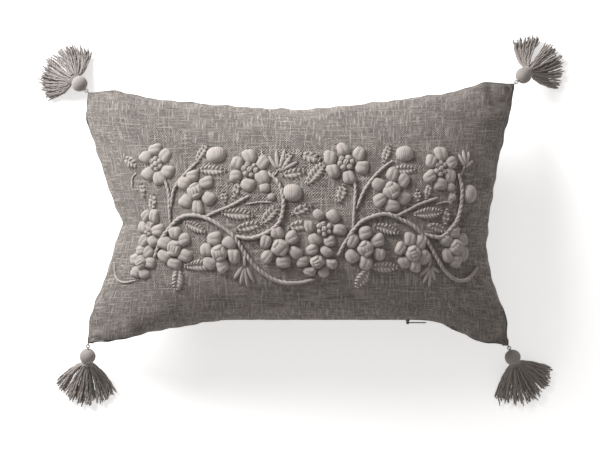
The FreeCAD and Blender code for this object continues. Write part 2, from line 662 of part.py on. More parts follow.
def make_embroidery(surface):
    """Both repeats of the embroidery, one node for each kind of stitched piece."""
    crown_skin = Crown(surface)
    for name, shift in (("left", 0.0), ("right", REPEAT_PITCH)):
        petals, centres = make_flowers(crown_skin, shift)
        save("embroidery_petals_" + name, Part.makeCompound(petals))
        save("embroidery_centres_" + name, Part.makeCompound(centres))
        buds = [crown_skin.dome(x + shift, y, a, b, BUD_HEIGHT * min(1.0, a / BUD_FULL_RADIUS), 0)
                for (x, y), a, b in BUDS if on_panel(x + shift, y, a)]
        save("embroidery_buds_" + name, Part.makeCompound(buds))
        leaves = [crown_skin.leaf(x + shift, y, length, width, LEAF_HEIGHT, turn)
                  for (x, y), length, width, turn in LEAVES if on_panel(x + shift, y, length / 2)]
        save("embroidery_leaves_" + name, Part.makeCompound(leaves))
        stems = make_cords(crown_skin, shift, STEMS, STEM_WIDTH, STEM_HEIGHT)
        save("embroidery_stems_" + name, Part.makeCompound(stems))
        sprigs = make_cords(crown_skin, shift, SPRIGS, SPRIG_WIDTH, SPRIG_HEIGHT)
        save("embroidery_sprigs_" + name, Part.makeCompound(sprigs))


os.makedirs("parts", exist_ok=True)
front_surface = make_cover()
make_insert()
make_zip_chain()
make_slider()
make_pull()
for corner_name in CORNERS:
    make_tassel(corner_name)
make_embroidery(front_surface)
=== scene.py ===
import logging
import math
from dataclasses import dataclass
from enum import Enum
from typing import Callable, Sequence

import bpy
import numpy as np
from mathutils import Matrix, Vector


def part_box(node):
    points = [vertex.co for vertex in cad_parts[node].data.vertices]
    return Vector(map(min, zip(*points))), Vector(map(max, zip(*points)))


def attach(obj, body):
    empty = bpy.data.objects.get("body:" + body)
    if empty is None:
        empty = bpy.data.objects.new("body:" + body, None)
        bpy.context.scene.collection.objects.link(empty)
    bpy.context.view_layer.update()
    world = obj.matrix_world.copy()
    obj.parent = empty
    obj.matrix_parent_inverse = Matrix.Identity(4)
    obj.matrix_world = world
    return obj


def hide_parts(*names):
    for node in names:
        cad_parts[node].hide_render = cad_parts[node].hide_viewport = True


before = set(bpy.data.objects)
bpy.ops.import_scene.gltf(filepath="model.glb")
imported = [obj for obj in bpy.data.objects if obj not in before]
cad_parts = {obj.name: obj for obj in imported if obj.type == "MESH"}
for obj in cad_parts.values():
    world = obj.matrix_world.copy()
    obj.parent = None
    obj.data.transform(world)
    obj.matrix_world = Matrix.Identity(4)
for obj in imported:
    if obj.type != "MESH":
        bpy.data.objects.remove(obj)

log = logging.getLogger("throw_pillow")
MM = 0.001
Point = tuple[float, float]
Pair = tuple[float, float]
Triple = tuple[float, float, float]
Colour = Triple
Value = float | bpy.types.NodeSocket       # what a node's input takes
CORNERS = ("tl", "tr", "bl", "br")


# ---- node helpers ----------------------------------------------------------------------------
def socket(sockets: Sequence, name: str) -> bpy.types.NodeSocket:
    """Find the enabled socket with a name.

    Args:
        sockets: a node's inputs or outputs.
        name: the socket's name.

    Returns:
        The first enabled socket of that name.
    """
    return next(s for s in sockets if s.name == name and s.enabled)


class Graph:
    """Short way to lay out the nodes of a shader, a shader group or a geometry tree."""

    def __init__(self, tree: bpy.types.NodeTree) -> None:
        """Keep the tree that the nodes go into."""
        self.tree = tree

    def add(self, kind: str, inputs: dict | None = None, **settings) -> bpy.types.Node:
        """Add a node.

        Args:
            kind: the node's type name.
            inputs: socket name to a value, or to another node's output socket.
            settings: the node's own properties.

        Returns:
            The new node.
        """
        node = self.tree.nodes.new(kind)
        for key, value in settings.items():
            setattr(node, key, value)
        for name, value in (inputs or {}).items():
            target = node.inputs[name] if isinstance(name, int) else socket(node.inputs, name)
            if isinstance(value, bpy.types.NodeSocket):
                self.tree.links.new(value, target)
            else:
                target.default_value = value
        return node

    def math(self, operation: str, a: Value, b: Value = 0.0) -> bpy.types.NodeSocket:
        """Arithmetic on two values or sockets.

        Args:
            operation: the Math node's operation.
            a: first value or socket.
            b: second value or socket.

        Returns:
            The result's socket.
        """
        return self.add("ShaderNodeMath", {0: a, 1: b}, operation=operation).outputs[0]

    def weighted(self, *parts: tuple[Value, float]) -> bpy.types.NodeSocket:
        """Weighted sum.

        Args:
            parts: each value or socket with its share.

        Returns:
            The sum's socket.
        """
        total, *rest = [self.math("MULTIPLY", value, share) for value, share in parts]
        for part in rest:
            total = self.math("ADD", total, part)
        return total


def new_group(name: str, inputs: dict[str, tuple[str, object]], outputs: dict[str, str]) -> Graph:
    """Start a shader node group.

    Args:
        name: the group's name.
        inputs: socket name to its type and default value.
        outputs: socket name to its type.

    Returns:
        A graph whose tree holds the group's input and output nodes, named in and out.
    """
    tree = bpy.data.node_groups.new(name, "ShaderNodeTree")
    for label, (kind, value) in inputs.items():
        made = tree.interface.new_socket(name=label, in_out="INPUT", socket_type=kind)
        if value is not None:
            made.default_value = value
    for label, kind in outputs.items():
        tree.interface.new_socket(name=label, in_out="OUTPUT", socket_type=kind)
    tree.nodes.new("NodeGroupInput").name = "in"
    tree.nodes.new("NodeGroupOutput").name = "out"
    return Graph(tree)


def stretched_noise(graph: Graph, x: Value, y: Value, grain: Pair, detail: float,
                    offset: float) -> bpy.types.NodeSocket:
    """Noise drawn out along one direction.

    Args:
        graph: where the nodes go.
        x: first coordinate's socket, in millimetres.
        y: second coordinate's socket, in millimetres.
        grain: size of the grain along x and y, in millimetres.
        detail: octaves of finer noise.
        offset: moves the pattern so that two of them differ.

    Returns:
        The noise value's socket, about 0.5 in the mean.
    """
    place = graph.add("ShaderNodeCombineXYZ", {
        "X": graph.math("DIVIDE", x, grain[0]), "Y": graph.math("DIVIDE", y, grain[1]), "Z": offset})
    noise = graph.add("ShaderNodeTexNoise", {
        "Vector": place.outputs[0], "Scale": 1.0, "Detail": detail, "Roughness": 0.55})
    return noise.outputs[0]


@dataclass(frozen=True)
class SlubWeave:
    """Sizes of the slub weave, in millimetres, and the shares of its parts."""

    sway: float = 5.0                          # how far its threads wander
    sway_grain: Pair = (9.0, 30.0)
    upright_slub: Pair = (1.9, 19.0)
    level_slub: Pair = (24.0, 1.7)
    knot: Pair = (3.2, 3.2)
    slub_range: Pair = (0.48, 0.74)            # noise at which a slub starts and is full
    height: Triple = (0.46, 0.75, 0.35)        # of crossings, slubs and knots
    # colour shares of crossings, slubs and knots: the yarn's own uneven tone, and painted shade that
    # darkens the hollows between raised threads
    tone_and_painted_shade: Triple = (0.26, 0.55, 0.7)


def slub_weave_group() -> bpy.types.NodeTree:
    """Uneven plain weave with long thick slubs both ways; its colour, lighter where the weave stands
    higher, is partly the yarn's uneven tone and partly painted shade in the hollows.

    Returns:
        Group with a Place input in metres, a Thread input in millimetres, and Height and Shade
        outputs.
    """
    weave = SlubWeave()
    graph = new_group(
        "slub_weave",
        {"Place": ("NodeSocketVector", None), "Thread": ("NodeSocketFloat", 1.5)},
        {"Height": "NodeSocketFloat", "Shade": "NodeSocketFloat"})
    start, end = graph.tree.nodes["in"], graph.tree.nodes["out"]
    split = graph.add("ShaderNodeSeparateXYZ", {"Vector": start.outputs["Place"]})
    x = graph.math("MULTIPLY", split.outputs["X"], 1 / MM)
    y = graph.math("MULTIPLY", split.outputs["Y"], 1 / MM)
    turn = graph.math("DIVIDE", 2 * math.pi, start.outputs["Thread"])
    crossings = []
    for along, grain, offset in ((x, weave.sway_grain, 0.0), (y, weave.sway_grain[::-1], 4.0)):
        sway = graph.math("MULTIPLY", stretched_noise(graph, x, y, grain, 1.0, offset), weave.sway)
        thread = graph.math("ADD", along, sway)
        crossings.append(graph.math("SINE", graph.math("MULTIPLY", thread, turn)))
    crossing = graph.math("MULTIPLY", *crossings)
    both = graph.math("MAXIMUM", stretched_noise(graph, x, y, weave.upright_slub, 2.0, 8.0),
                      stretched_noise(graph, x, y, weave.level_slub, 2.0, 12.0))
    knot = stretched_noise(graph, x, y, weave.knot, 2.0, 16.0)
    slub = graph.add("ShaderNodeMapRange", {
        "Value": both, "From Min": weave.slub_range[0], "From Max": weave.slub_range[1],
        "To Min": 0.0, "To Max": 1.0}).outputs[0]
    height = graph.weighted((crossing, weave.height[0]), (slub, weave.height[1]),
                            (knot, weave.height[2]))
    # colour: lighter on raised slubs, knots and crossings and darker in the gaps between threads;
    # partly the yarn's own tone, partly painted shade
    tone_and_painted_shade = graph.weighted((slub, weave.tone_and_painted_shade[1]), (knot, weave.tone_and_painted_shade[2]),
                           (crossing, weave.tone_and_painted_shade[0]))
    graph.tree.links.new(height, end.inputs["Height"])
    graph.tree.links.new(tone_and_painted_shade, end.inputs["Shade"])
    return graph.tree


@dataclass(frozen=True)
class ThreadFibre:
    """Sizes of the thread's fibres, in millimetres, and the shares of its parts."""

    sway: float = 1.6                          # how far its threads wander
    sway_grain: Pair = (7.0, 2.0)
    fluff: Pair = (0.9, 0.5)
    height: Pair = (0.35, 0.8)                 # of threads and fluff
    # colour shares of threads and fluff: painted shade in the grooves between threads, and the
    # fibres' own uneven tone
    tone_and_painted_shade: Pair = (0.16, 1.0)


def thread_fibre_group() -> bpy.types.NodeTree:
    """Fine parallel threads and stray fibres of stitched or wound thread; the darker colour in the
    grooves between threads is painted shade, and the fibres' colour is uneven tone.

    Returns:
        Group with Place and Thread inputs in millimetres and Height and Shade outputs.
    """
    fibre = ThreadFibre()
    graph = new_group(
        "thread_fibre",
        {"Place": ("NodeSocketVector", None), "Thread": ("NodeSocketFloat", 1.0)},
        {"Height": "NodeSocketFloat", "Shade": "NodeSocketFloat"})
    start, end = graph.tree.nodes["in"], graph.tree.nodes["out"]
    split = graph.add("ShaderNodeSeparateXYZ", {"Vector": start.outputs["Place"]})
    x, y = split.outputs["X"], split.outputs["Y"]
    sway = stretched_noise(graph, x, y, fibre.sway_grain, 1.0, 0.0)
    across = graph.math("ADD", y, graph.math("MULTIPLY", sway, fibre.sway))
    turn = graph.math("DIVIDE", 2 * math.pi, start.outputs["Thread"])
    wave = graph.math("SINE", graph.math("MULTIPLY", across, turn))
    fluff = stretched_noise(graph, x, y, fibre.fluff, 3.0, 6.0)
    height = graph.weighted((wave, fibre.height[0]), (fluff, fibre.height[1]))
    # colour: darker in the grooves between threads as painted shade, uneven with the fibres' own
    # tone
    tone_and_painted_shade = graph.weighted((wave, fibre.tone_and_painted_shade[0]), (fluff, fibre.tone_and_painted_shade[1]))
    graph.tree.links.new(height, end.inputs["Height"])
    graph.tree.links.new(tone_and_painted_shade, end.inputs["Shade"])
    return graph.tree


def uneven_dye_group() -> bpy.types.NodeTree:
    """Broad unevenness of the dye.

    Returns:
        Group with a Place input in metres and a Shade output about 0.5.
    """
    graph = new_group("uneven_dye", {"Place": ("NodeSocketVector", None),
                                     "Patch": ("NodeSocketFloat", 40.0)},
                      {"Shade": "NodeSocketFloat"})
    noise = graph.add("ShaderNodeTexNoise", {
        "Vector": graph.tree.nodes["in"].outputs["Place"],
        "Scale": graph.tree.nodes["in"].outputs["Patch"], "Detail": 3.0})
    graph.tree.links.new(noise.outputs[0], graph.tree.nodes["out"].inputs["Shade"])
    return graph.tree


class SharedGroups:
    """The shader groups, each built the first time it is asked for."""

    built: dict[str, bpy.types.NodeTree] = {}
    makers: dict[str, Callable[[], bpy.types.NodeTree]] = {
        "slub_weave": slub_weave_group, "thread_fibre": thread_fibre_group,
        "uneven_dye": uneven_dye_group}

    @classmethod
    def get(cls, name: str) -> bpy.types.NodeTree:
        """Give a group by name.

        Args:
            name: the group's name.

        Returns:
            The shader group.
        """
        if name not in cls.built:
            cls.built[name] = cls.makers[name]()
        return cls.built[name]


# ---- finishes ----------------------------------------------------------------------------------
class Placing(Enum):
    """What a finish's pattern follows."""

    CLOTH = "cloth"            # the flat cloth's own map, in metres
    STITCH = "stitch"          # a stitched pad's own map, in millimetres
    OBJECT = "object"          # the piece's place in space


FINISHED: dict[str, bpy.types.Material] = {}


@dataclass(frozen=True)
class Finish:
    """A matte textile or moulded finish with a dark and a light shade of one colour, mixed by a
    pattern that holds both the thread's uneven tone and painted shade in its hollows.
    """

    name: str
    dark: Colour
    light: Colour
    group: str
    placing: Placing
    thread: float = 1.0
    bump: float = 0.6
    depth: float = 0.0006
    roughness: float = 0.9
    sheen: float = 0.15
    metallic: float = 0.0
    shade_from: Pair = (0.3, 0.9)              # pattern values of the two shades
    dye: float = 0.35                          # how far the dye's patches shift the shade
    gloss: float = 0.25

    def place(self, graph: Graph) -> bpy.types.NodeSocket:
        """Coordinate that the pattern follows.

        Args:
            graph: where the nodes go.

        Returns:
            The coordinate's socket.
        """
        if self.placing is Placing.OBJECT:
            coordinate = graph.add("ShaderNodeTexCoord").outputs["Object"]
            if self.group != "thread_fibre":
                return coordinate
            scale = graph.add("ShaderNodeVectorMath", {0: coordinate, 1: (1 / MM,) * 3},
                              operation="MULTIPLY")
            return scale.outputs[0]
        return graph.add("ShaderNodeUVMap", uv_map=self.placing.value).outputs[0]

    def material(self) -> bpy.types.Material:
        """Build the material, or give the one built before.

        Returns:
            The material of this finish.
        """
        if self.name in FINISHED:
            return FINISHED[self.name]
        made = FINISHED[self.name] = bpy.data.materials.new(self.name + "_finish")
        made.use_nodes = True
        graph = Graph(made.node_tree)
        surface = made.node_tree.nodes["Principled BSDF"]
        pattern = graph.add("ShaderNodeGroup", node_tree=SharedGroups.get(self.group))
        made.node_tree.links.new(self.place(graph), pattern.inputs["Place"])
        if self.group != "uneven_dye":
            pattern.inputs["Thread"].default_value = self.thread
        dye = graph.add("ShaderNodeGroup", node_tree=SharedGroups.get("uneven_dye"))
        made.node_tree.links.new(graph.add("ShaderNodeTexCoord").outputs["Object"],
                                 dye.inputs["Place"])
        # colour from the pattern, which includes painted shade in its hollows, shifted by the dye's
        # random patches
        tone_and_painted_shade = graph.math("ADD", pattern.outputs["Shade"],
                           graph.math("MULTIPLY", graph.math("SUBTRACT", dye.outputs[0], 0.5),
                                      self.dye))
        level = graph.add("ShaderNodeMapRange", {
            "Value": tone_and_painted_shade, "From Min": self.shade_from[0], "From Max": self.shade_from[1]})
        mix = graph.add("ShaderNodeMix", {"Factor": level.outputs[0]}, data_type="RGBA")
        socket(mix.inputs, "A").default_value = (*self.dark, 1.0)
        socket(mix.inputs, "B").default_value = (*self.light, 1.0)
        made.node_tree.links.new(socket(mix.outputs, "Result"), surface.inputs["Base Color"])
        bump = graph.add("ShaderNodeBump", {"Strength": self.bump, "Distance": self.depth,
                                            "Height": pattern.outputs["Height"]})
        made.node_tree.links.new(bump.outputs[0], surface.inputs["Normal"])
        surface.inputs["Roughness"].default_value = self.roughness
        surface.inputs["Metallic"].default_value = self.metallic
        surface.inputs["Sheen Weight"].default_value = self.sheen
        surface.inputs["Specular IOR Level"].default_value = self.gloss
        return made


# the wide spread from dark to light is partly the cloth's own uneven tone and partly painted shade
# in the hollows of the weave
COVER_CLOTH = Finish("cover_cloth", (0.125, 0.105, 0.092), (0.68, 0.607, 0.560), "slub_weave",
                     Placing.CLOTH, thread=2.6, bump=1.0, depth=0.0026, shade_from=(0.16, 0.90))
CASING_CLOTH = Finish("casing_cloth", (0.68, 0.66, 0.62), (0.82, 0.81, 0.78), "slub_weave",
                      Placing.OBJECT, thread=0.8, bump=0.3, depth=0.0003)
FILLING = Finish("filling", (0.74, 0.74, 0.72), (0.92, 0.92, 0.9), "thread_fibre",
                 Placing.OBJECT, thread=2.0, bump=0.9, depth=0.0012)
ZIP_TAPE = Finish("zip_tape", (0.20, 0.18, 0.17), (0.28, 0.26, 0.245), "slub_weave",
                  Placing.OBJECT, thread=0.7, bump=0.4, depth=0.0002)
ZIP_COIL = Finish("zip_coil", (0.20, 0.185, 0.17), (0.26, 0.24, 0.225), "thread_fibre",
                  Placing.OBJECT, thread=0.6, bump=0.1, depth=0.0001, roughness=0.45, sheen=0.0)
ZIP_METAL = Finish("zip_metal", (0.16, 0.145, 0.13), (0.25, 0.23, 0.21), "thread_fibre",
                   Placing.OBJECT, thread=3.0, bump=0.08, depth=0.0001, roughness=0.38,
                   sheen=0.0, metallic=0.85)
STITCHING_THREAD = Finish("stitching_thread", (0.20, 0.185, 0.17), (0.34, 0.315, 0.3),
                          "thread_fibre", Placing.OBJECT, thread=0.5, bump=0.6, depth=0.0002)
TASSEL_THREAD = Finish("tassel_thread", (0.27, 0.244, 0.23), (0.46, 0.418, 0.394), "thread_fibre",
                       Placing.OBJECT, thread=0.6, bump=0.5, depth=0.0003)
TASSEL_YARN = Finish("tassel_yarn", (0.26, 0.232, 0.217), (0.50, 0.452, 0.424), "thread_fibre",
                     Placing.OBJECT, thread=0.7, bump=0.6, depth=0.0004)
STITCHED = Finish("embroidery_thread", (0.32, 0.288, 0.268), (0.55, 0.498, 0.464), "thread_fibre",
                  Placing.STITCH, thread=1.1, bump=0.7, depth=0.0005, shade_from=(0.2, 0.95))
CORDED = Finish("embroidery_cord", (0.35, 0.315, 0.294), (0.58, 0.526, 0.492), "thread_fibre",
                Placing.OBJECT, thread=0.6, bump=0.5, depth=0.0003, shade_from=(0.2, 0.95))


# ---- mesh helpers ------------------------------------------------------------------------------
def new_object(name: str, vertices: np.ndarray, faces: Sequence, edges: Sequence = (),
               maps: dict[str, np.ndarray] | None = None) -> bpy.types.Object:
    """Make a mesh object in the scene.

    Args:
        name: the object's name.
        vertices: one place per row.
        faces: vertex numbers of each face.
        edges: vertex numbers of each loose edge.
        maps: UV map name to one pair per vertex.

    Returns:
        The new object, at the origin.
    """
    mesh = bpy.data.meshes.new(name)
    mesh.from_pydata(np.asarray(vertices).tolist(), [tuple(map(int, e)) for e in edges],
                     [tuple(map(int, f)) for f in faces])
    for label, values in (maps or {}).items():
        layer = mesh.uv_layers.new(name=label)
        corner = np.zeros(len(mesh.loops), dtype=np.int32)
        mesh.loops.foreach_get("vertex_index", corner)
        layer.data.foreach_set("uv", np.asarray(values)[corner].astype(np.float32).ravel())
    mesh.update()
    made = bpy.data.objects.new(name, mesh)
    bpy.context.scene.collection.objects.link(made)
    return made


def flat_square(name: str, half: float) -> bpy.types.Object:
    """Make a flat square at height zero.

    Args:
        name: the object's name.
        half: half its side.

    Returns:
        The square.
    """
    corners = np.array([(-half, -half, 0), (half, -half, 0), (half, half, 0), (-half, half, 0)])
    return new_object(name, corners, [(0, 1, 2, 3)])


def discard(item: bpy.types.Object) -> None:
    """Delete a helper object and its mesh.

    Args:
        item: the object, with a mesh that nothing else uses.
    """
    mesh = item.data
    bpy.data.objects.remove(item)
    bpy.data.meshes.remove(mesh)


def set_attribute(item: bpy.types.Object, name: str, kind: str, values: np.ndarray) -> None:
    """Store a value on each vertex of a mesh.

    Args:
        item: the object.
        name: the attribute's name.
        kind: FLOAT or FLOAT_VECTOR.
        values: one value or one row per vertex.
    """
    layer = item.data.attributes.new(name, kind, "POINT")
    key = "value" if kind == "FLOAT" else "vector"
    layer.data.foreach_set(key, np.asarray(values, dtype=np.float32).ravel())


def smooth(item: bpy.types.Object) -> None:
    """Shade every face smooth."""
    item.data.polygons.foreach_set("use_smooth", [True] * len(item.data.polygons))


def crisp(item: bpy.types.Object, fold: np.ndarray) -> None:
    """Keep the shading crisp along a fold.

    Args:
        item: the object.
        fold: for each vertex, whether it is on the fold.
    """
    ends = np.zeros(len(item.data.edges) * 2, dtype=np.int32)
    item.data.edges.foreach_get("vertices", ends)
    both = fold[ends.reshape(-1, 2)].all(axis=1)
    item.data.attributes.new("sharp_edge", "BOOLEAN", "EDGE").data.foreach_set("value", both)


def dress(item: bpy.types.Object, finish: Finish) -> None:
    """Give an object one finish."""
    item.data.materials.clear()
    item.data.materials.append(finish.material())


def join(name: str, parts: Sequence[bpy.types.Object]) -> bpy.types.Object:
    """Join objects into the first one.

    Args:
        name: the joined object's name.
        parts: the objects, all at the origin.

    Returns:
        The joined object.
    """
    if len(parts) > 1:
        with bpy.context.temp_override(active_object=parts[0], object=parts[0],
                                       selected_objects=list(parts),
                                       selected_editable_objects=list(parts)):
            bpy.ops.object.join()
    parts[0].name = name
    parts[0].data.name = name
    return parts[0]


# ---- geometry trees ----------------------------------------------------------------------------
class GeometryTrees:
    """Builds the geometry trees once and runs them on helper meshes."""

    ply_radius = 0.77          # share of a cord's radius
    ply_reach = 0.25           # each ply's distance from the cord's middle, as a share

    def __init__(self) -> None:
        """Build both trees."""
        self.pads = self.pad_tree()
        self.rope = self.rope_tree()

    @staticmethod
    def start(name: str, inputs: dict[str, str]) -> Graph:
        """Start a tree with a Geometry input and output and named inputs.

        Args:
            name: the tree's name.
            inputs: input name to socket type.

        Returns:
            A graph with nodes named in and out.
        """
        tree = bpy.data.node_groups.new(name, "GeometryNodeTree")
        tree.interface.new_socket(name="Geometry", in_out="INPUT",
                                  socket_type="NodeSocketGeometry")
        for label, kind in inputs.items():
            tree.interface.new_socket(name=label, in_out="INPUT", socket_type=kind)
        tree.interface.new_socket(name="Geometry", in_out="OUTPUT",
                                  socket_type="NodeSocketGeometry")
        tree.nodes.new("NodeGroupInput").name = "in"
        tree.nodes.new("NodeGroupOutput").name = "out"
        return Graph(tree)

    @staticmethod
    def end(graph: Graph, geometry: bpy.types.NodeSocket) -> bpy.types.NodeTree:
        """Realize, shade smooth, set the material and close the tree.

        Args:
            graph: the tree's graph.
            geometry: socket of the geometry made so far.

        Returns:
            The finished tree.
        """
        real = graph.add("GeometryNodeRealizeInstances", {"Geometry": geometry})
        even = graph.add("GeometryNodeSetShadeSmooth", {"Geometry": real.outputs[0]})
        last = graph.add("GeometryNodeSetMaterial", {
            "Geometry": even.outputs[0],
            "Material": graph.tree.nodes["in"].outputs["Material"]})
        graph.tree.links.new(last.outputs[0], graph.tree.nodes["out"].inputs[0])
        return graph.tree

    @staticmethod
    def stored(graph: Graph, name: str, kind: str) -> bpy.types.NodeSocket:
        """Read a value stored on the points.

        Args:
            graph: where the node goes.
            name: the attribute's name.
            kind: FLOAT or FLOAT_VECTOR.

        Returns:
            The value's socket.
        """
        return graph.add("GeometryNodeInputNamedAttribute", {"Name": name},
                         data_type=kind).outputs[0]

    def pad_tree(self) -> bpy.types.NodeTree:
        """Tree that lays a copy of one pad on every point, turned, sized and a little uneven.

        Returns:
            The tree.
        """
        graph = self.start("stitched_pads", {
            "Pad": "NodeSocketObject", "Unevenness": "NodeSocketFloat", "Seed": "NodeSocketInt",
            "Material": "NodeSocketMaterial"})
        start = graph.tree.nodes["in"]
        pad = graph.add("GeometryNodeObjectInfo", {"Object": start.outputs["Pad"]})
        turn = graph.add("FunctionNodeEulerToRotation", {
            "Euler": self.stored(graph, "turn", "FLOAT_VECTOR")})
        low = graph.math("SUBTRACT", 1.0, start.outputs["Unevenness"])
        high = graph.math("ADD", 1.0, start.outputs["Unevenness"])
        chance = graph.add("FunctionNodeRandomValue", data_type="FLOAT_VECTOR")
        graph.tree.links.new(low, socket(chance.inputs, "Min"))
        graph.tree.links.new(high, socket(chance.inputs, "Max"))
        graph.tree.links.new(start.outputs["Seed"], socket(chance.inputs, "Seed"))
        size = graph.add("ShaderNodeVectorMath", {
            0: self.stored(graph, "size", "FLOAT_VECTOR"), 1: chance.outputs[0]},
            operation="MULTIPLY")
        copies = graph.add("GeometryNodeInstanceOnPoints", {
            "Points": start.outputs["Geometry"], "Instance": pad.outputs["Geometry"],
            "Rotation": turn.outputs[0], "Scale": size.outputs[0]})
        return self.end(graph, copies.outputs[0])

    def rope_tree(self) -> bpy.types.NodeTree:
        """Tree that turns lines of edges into two-ply twisted cords.

        Returns:
            The tree.
        """
        graph = self.start("twisted_cord", {
            "Radius": "NodeSocketFloat", "Lay": "NodeSocketFloat", "Sides": "NodeSocketInt",
            "Material": "NodeSocketMaterial"})
        start = graph.tree.nodes["in"]
        line = graph.add("GeometryNodeMeshToCurve", {"Mesh": start.outputs["Geometry"]})
        along = graph.add("GeometryNodeSplineParameter").outputs["Length"]
        turns = graph.math("DIVIDE", along, start.outputs["Lay"])
        tilt = graph.math("ADD", graph.math("MULTIPLY", turns, 2 * math.pi),
                          self.stored(graph, "phase", "FLOAT"))
        twisted = graph.add("GeometryNodeSetCurveTilt", {"Curve": line.outputs[0], "Tilt": tilt})
        ply = graph.math("MULTIPLY", start.outputs["Radius"], self.ply_radius)
        reach = graph.math("MULTIPLY", start.outputs["Radius"], self.ply_reach)
        circle = graph.add("GeometryNodeCurvePrimitiveCircle", {
            "Resolution": start.outputs["Sides"], "Radius": ply})
        plies = graph.add("GeometryNodeJoinGeometry")
        for side in (1.0, -1.0):
            offset = graph.add("ShaderNodeCombineXYZ", {"X": graph.math("MULTIPLY", reach, side)})
            moved = graph.add("GeometryNodeTransform", {
                "Geometry": circle.outputs[0], "Translation": offset.outputs[0]})
            graph.tree.links.new(moved.outputs[0], plies.inputs[0])
        tube = graph.add("GeometryNodeCurveToMesh", {
            "Curve": twisted.outputs[0], "Profile Curve": plies.outputs[0],
            "Scale": self.stored(graph, "thickness", "FLOAT"), "Fill Caps": True})
        return self.end(graph, tube.outputs[0])

    @staticmethod
    def run(source: bpy.types.Object, tree: bpy.types.NodeTree, values: dict,
            name: str) -> bpy.types.Object:
        """Run a tree on a helper mesh and keep the result as a plain mesh.

        Args:
            source: helper object, which is deleted afterwards.
            tree: the geometry tree.
            values: input name to value.
            name: the new object's name.

        Returns:
            The object that holds the result.
        """
        modifier = source.modifiers.new(tree.name, "NODES")
        modifier.node_group = tree
        for item in tree.interface.items_tree:
            if item.item_type == "SOCKET" and item.in_out == "INPUT" and item.name in values:
                modifier[item.identifier] = values[item.name]
        graph = bpy.context.evaluated_depsgraph_get()
        mesh = bpy.data.meshes.new_from_object(source.evaluated_get(graph),
                                               preserve_all_data_layers=True, depsgraph=graph)
        mesh.name = name
        made = bpy.data.objects.new(name, mesh)
        bpy.context.scene.collection.objects.link(made)
        discard(source)
        return made


class Ropes:
    """Collects centre lines of twisted cords and makes them one object."""

    def __init__(self) -> None:
        """Start with no lines."""
        self.points: list[np.ndarray] = []
        self.edges: list[tuple[int, int]] = []
        self.thickness: list[np.ndarray] = []
        self.phase: list[np.ndarray] = []
        self.count = 0

    def add(self, points: np.ndarray, thickness: np.ndarray, phase: float = 0.0) -> None:
        """Add one cord.

        Args:
            points: its centre line, one place per row.
            thickness: share of the full radius at each point.
            phase: turn of its plies at the start, in radians.
        """
        rows = len(points)
        self.points.append(points)
        self.thickness.append(np.asarray(thickness))
        self.phase.append(np.full(rows, phase))
        self.edges += [(self.count + i, self.count + i + 1) for i in range(rows - 1)]
        self.count += rows

    def build(self, name: str, trees: GeometryTrees, radius: float, lay: float, sides: int,
              finish: Finish) -> bpy.types.Object:
        """Make the cords.

        Args:
            name: the object's name.
            trees: the geometry trees.
            radius: full radius of a cord.
            lay: length of one turn of its plies.
            sides: faces round each ply.
            finish: the cords' finish.

        Returns:
            One object with all the cords.
        """
        lines = new_object(name + "_lines", np.concatenate(self.points), (), self.edges)
        set_attribute(lines, "thickness", "FLOAT", np.concatenate(self.thickness))
        set_attribute(lines, "phase", "FLOAT", np.concatenate(self.phase))
        return trees.run(lines, trees.rope, {"Radius": radius, "Lay": lay, "Sides": sides,
                                             "Material": finish.material()}, name)


@dataclass(frozen=True)
class Pad:
    """Shape of one padded stitch group, in millimetres, with a flat sunk underside."""

    half_length: float
    half_width: float
    height: float
    square: float = 2.6        # 2 is an ellipse, more is squarer, less is pointed
    crease: float = 0.0        # depth of the groove along its middle, as a share of the height
    lump: float = 0.0          # unevenness of its outline, as a share of its size
    sink: float = 0.8
    rings: int = 7
    sides: int = 24
    dome: Pair = (2.6, 0.6)    # powers of its section
    crease_width: float = 0.22     # share of the half width
    edge_sink: float = 0.3     # how far its edge is below the cloth, as a share of the sink
    foot: float = 0.9          # size of the underside, as a share

    def source(self, name: str) -> bpy.types.Object:
        """Build the pad as a helper object with its stitch map.

        Args:
            name: the helper's name.

        Returns:
            The helper object, of the pad's real size.
        """
        turn = np.linspace(0, 2 * math.pi, self.sides, endpoint=False)
        reach = (np.abs(np.cos(turn) / self.half_length) ** self.square
                 + np.abs(np.sin(turn) / self.half_width) ** self.square) ** (-1 / self.square)
        reach *= 1 + self.lump * (np.sin(2 * turn + 0.7) + 0.8 * np.sin(3 * turn + 2.0))
        share = np.sin(np.linspace(0, math.pi / 2, self.rings + 1))[1:]
        x = np.outer(share, reach * np.cos(turn))
        y = np.outer(share, reach * np.sin(turn))
        rise = self.height * (1 - share ** self.dome[0]) ** self.dome[1]
        z = np.repeat(rise[:, None], self.sides, axis=1)
        z -= self.crease * z * np.exp(-(y / (self.crease_width * self.half_width)) ** 2)
        z[-1] = -self.sink * self.edge_sink
        rows = [np.array([[0.0, 0.0, self.height * (1 - self.crease)]])]
        rows += [np.stack([x[i], y[i], z[i]], axis=1) for i in range(self.rings)]
        rows.append(np.stack([x[-1] * self.foot, y[-1] * self.foot,
                              np.full(self.sides, -self.sink)], axis=1))
        rows.append(np.array([[0.0, 0.0, -self.sink]]))
        vertices = np.concatenate(rows)
        faces = [(0, 1 + j, 1 + (j + 1) % self.sides) for j in range(self.sides)]
        for i in range(self.rings):
            a = 1 + i * self.sides
            b = a + self.sides
            faces += [(a + j, b + j, b + (j + 1) % self.sides, a + (j + 1) % self.sides)
                      for j in range(self.sides)]
        last = 1 + self.rings * self.sides
        centre = last + self.sides
        faces += [(last + j, centre, last + (j + 1) % self.sides) for j in range(self.sides)]
        made = new_object(name, vertices * MM, faces, maps={"stitch": vertices[:, :2]})
        smooth(made)
        return made


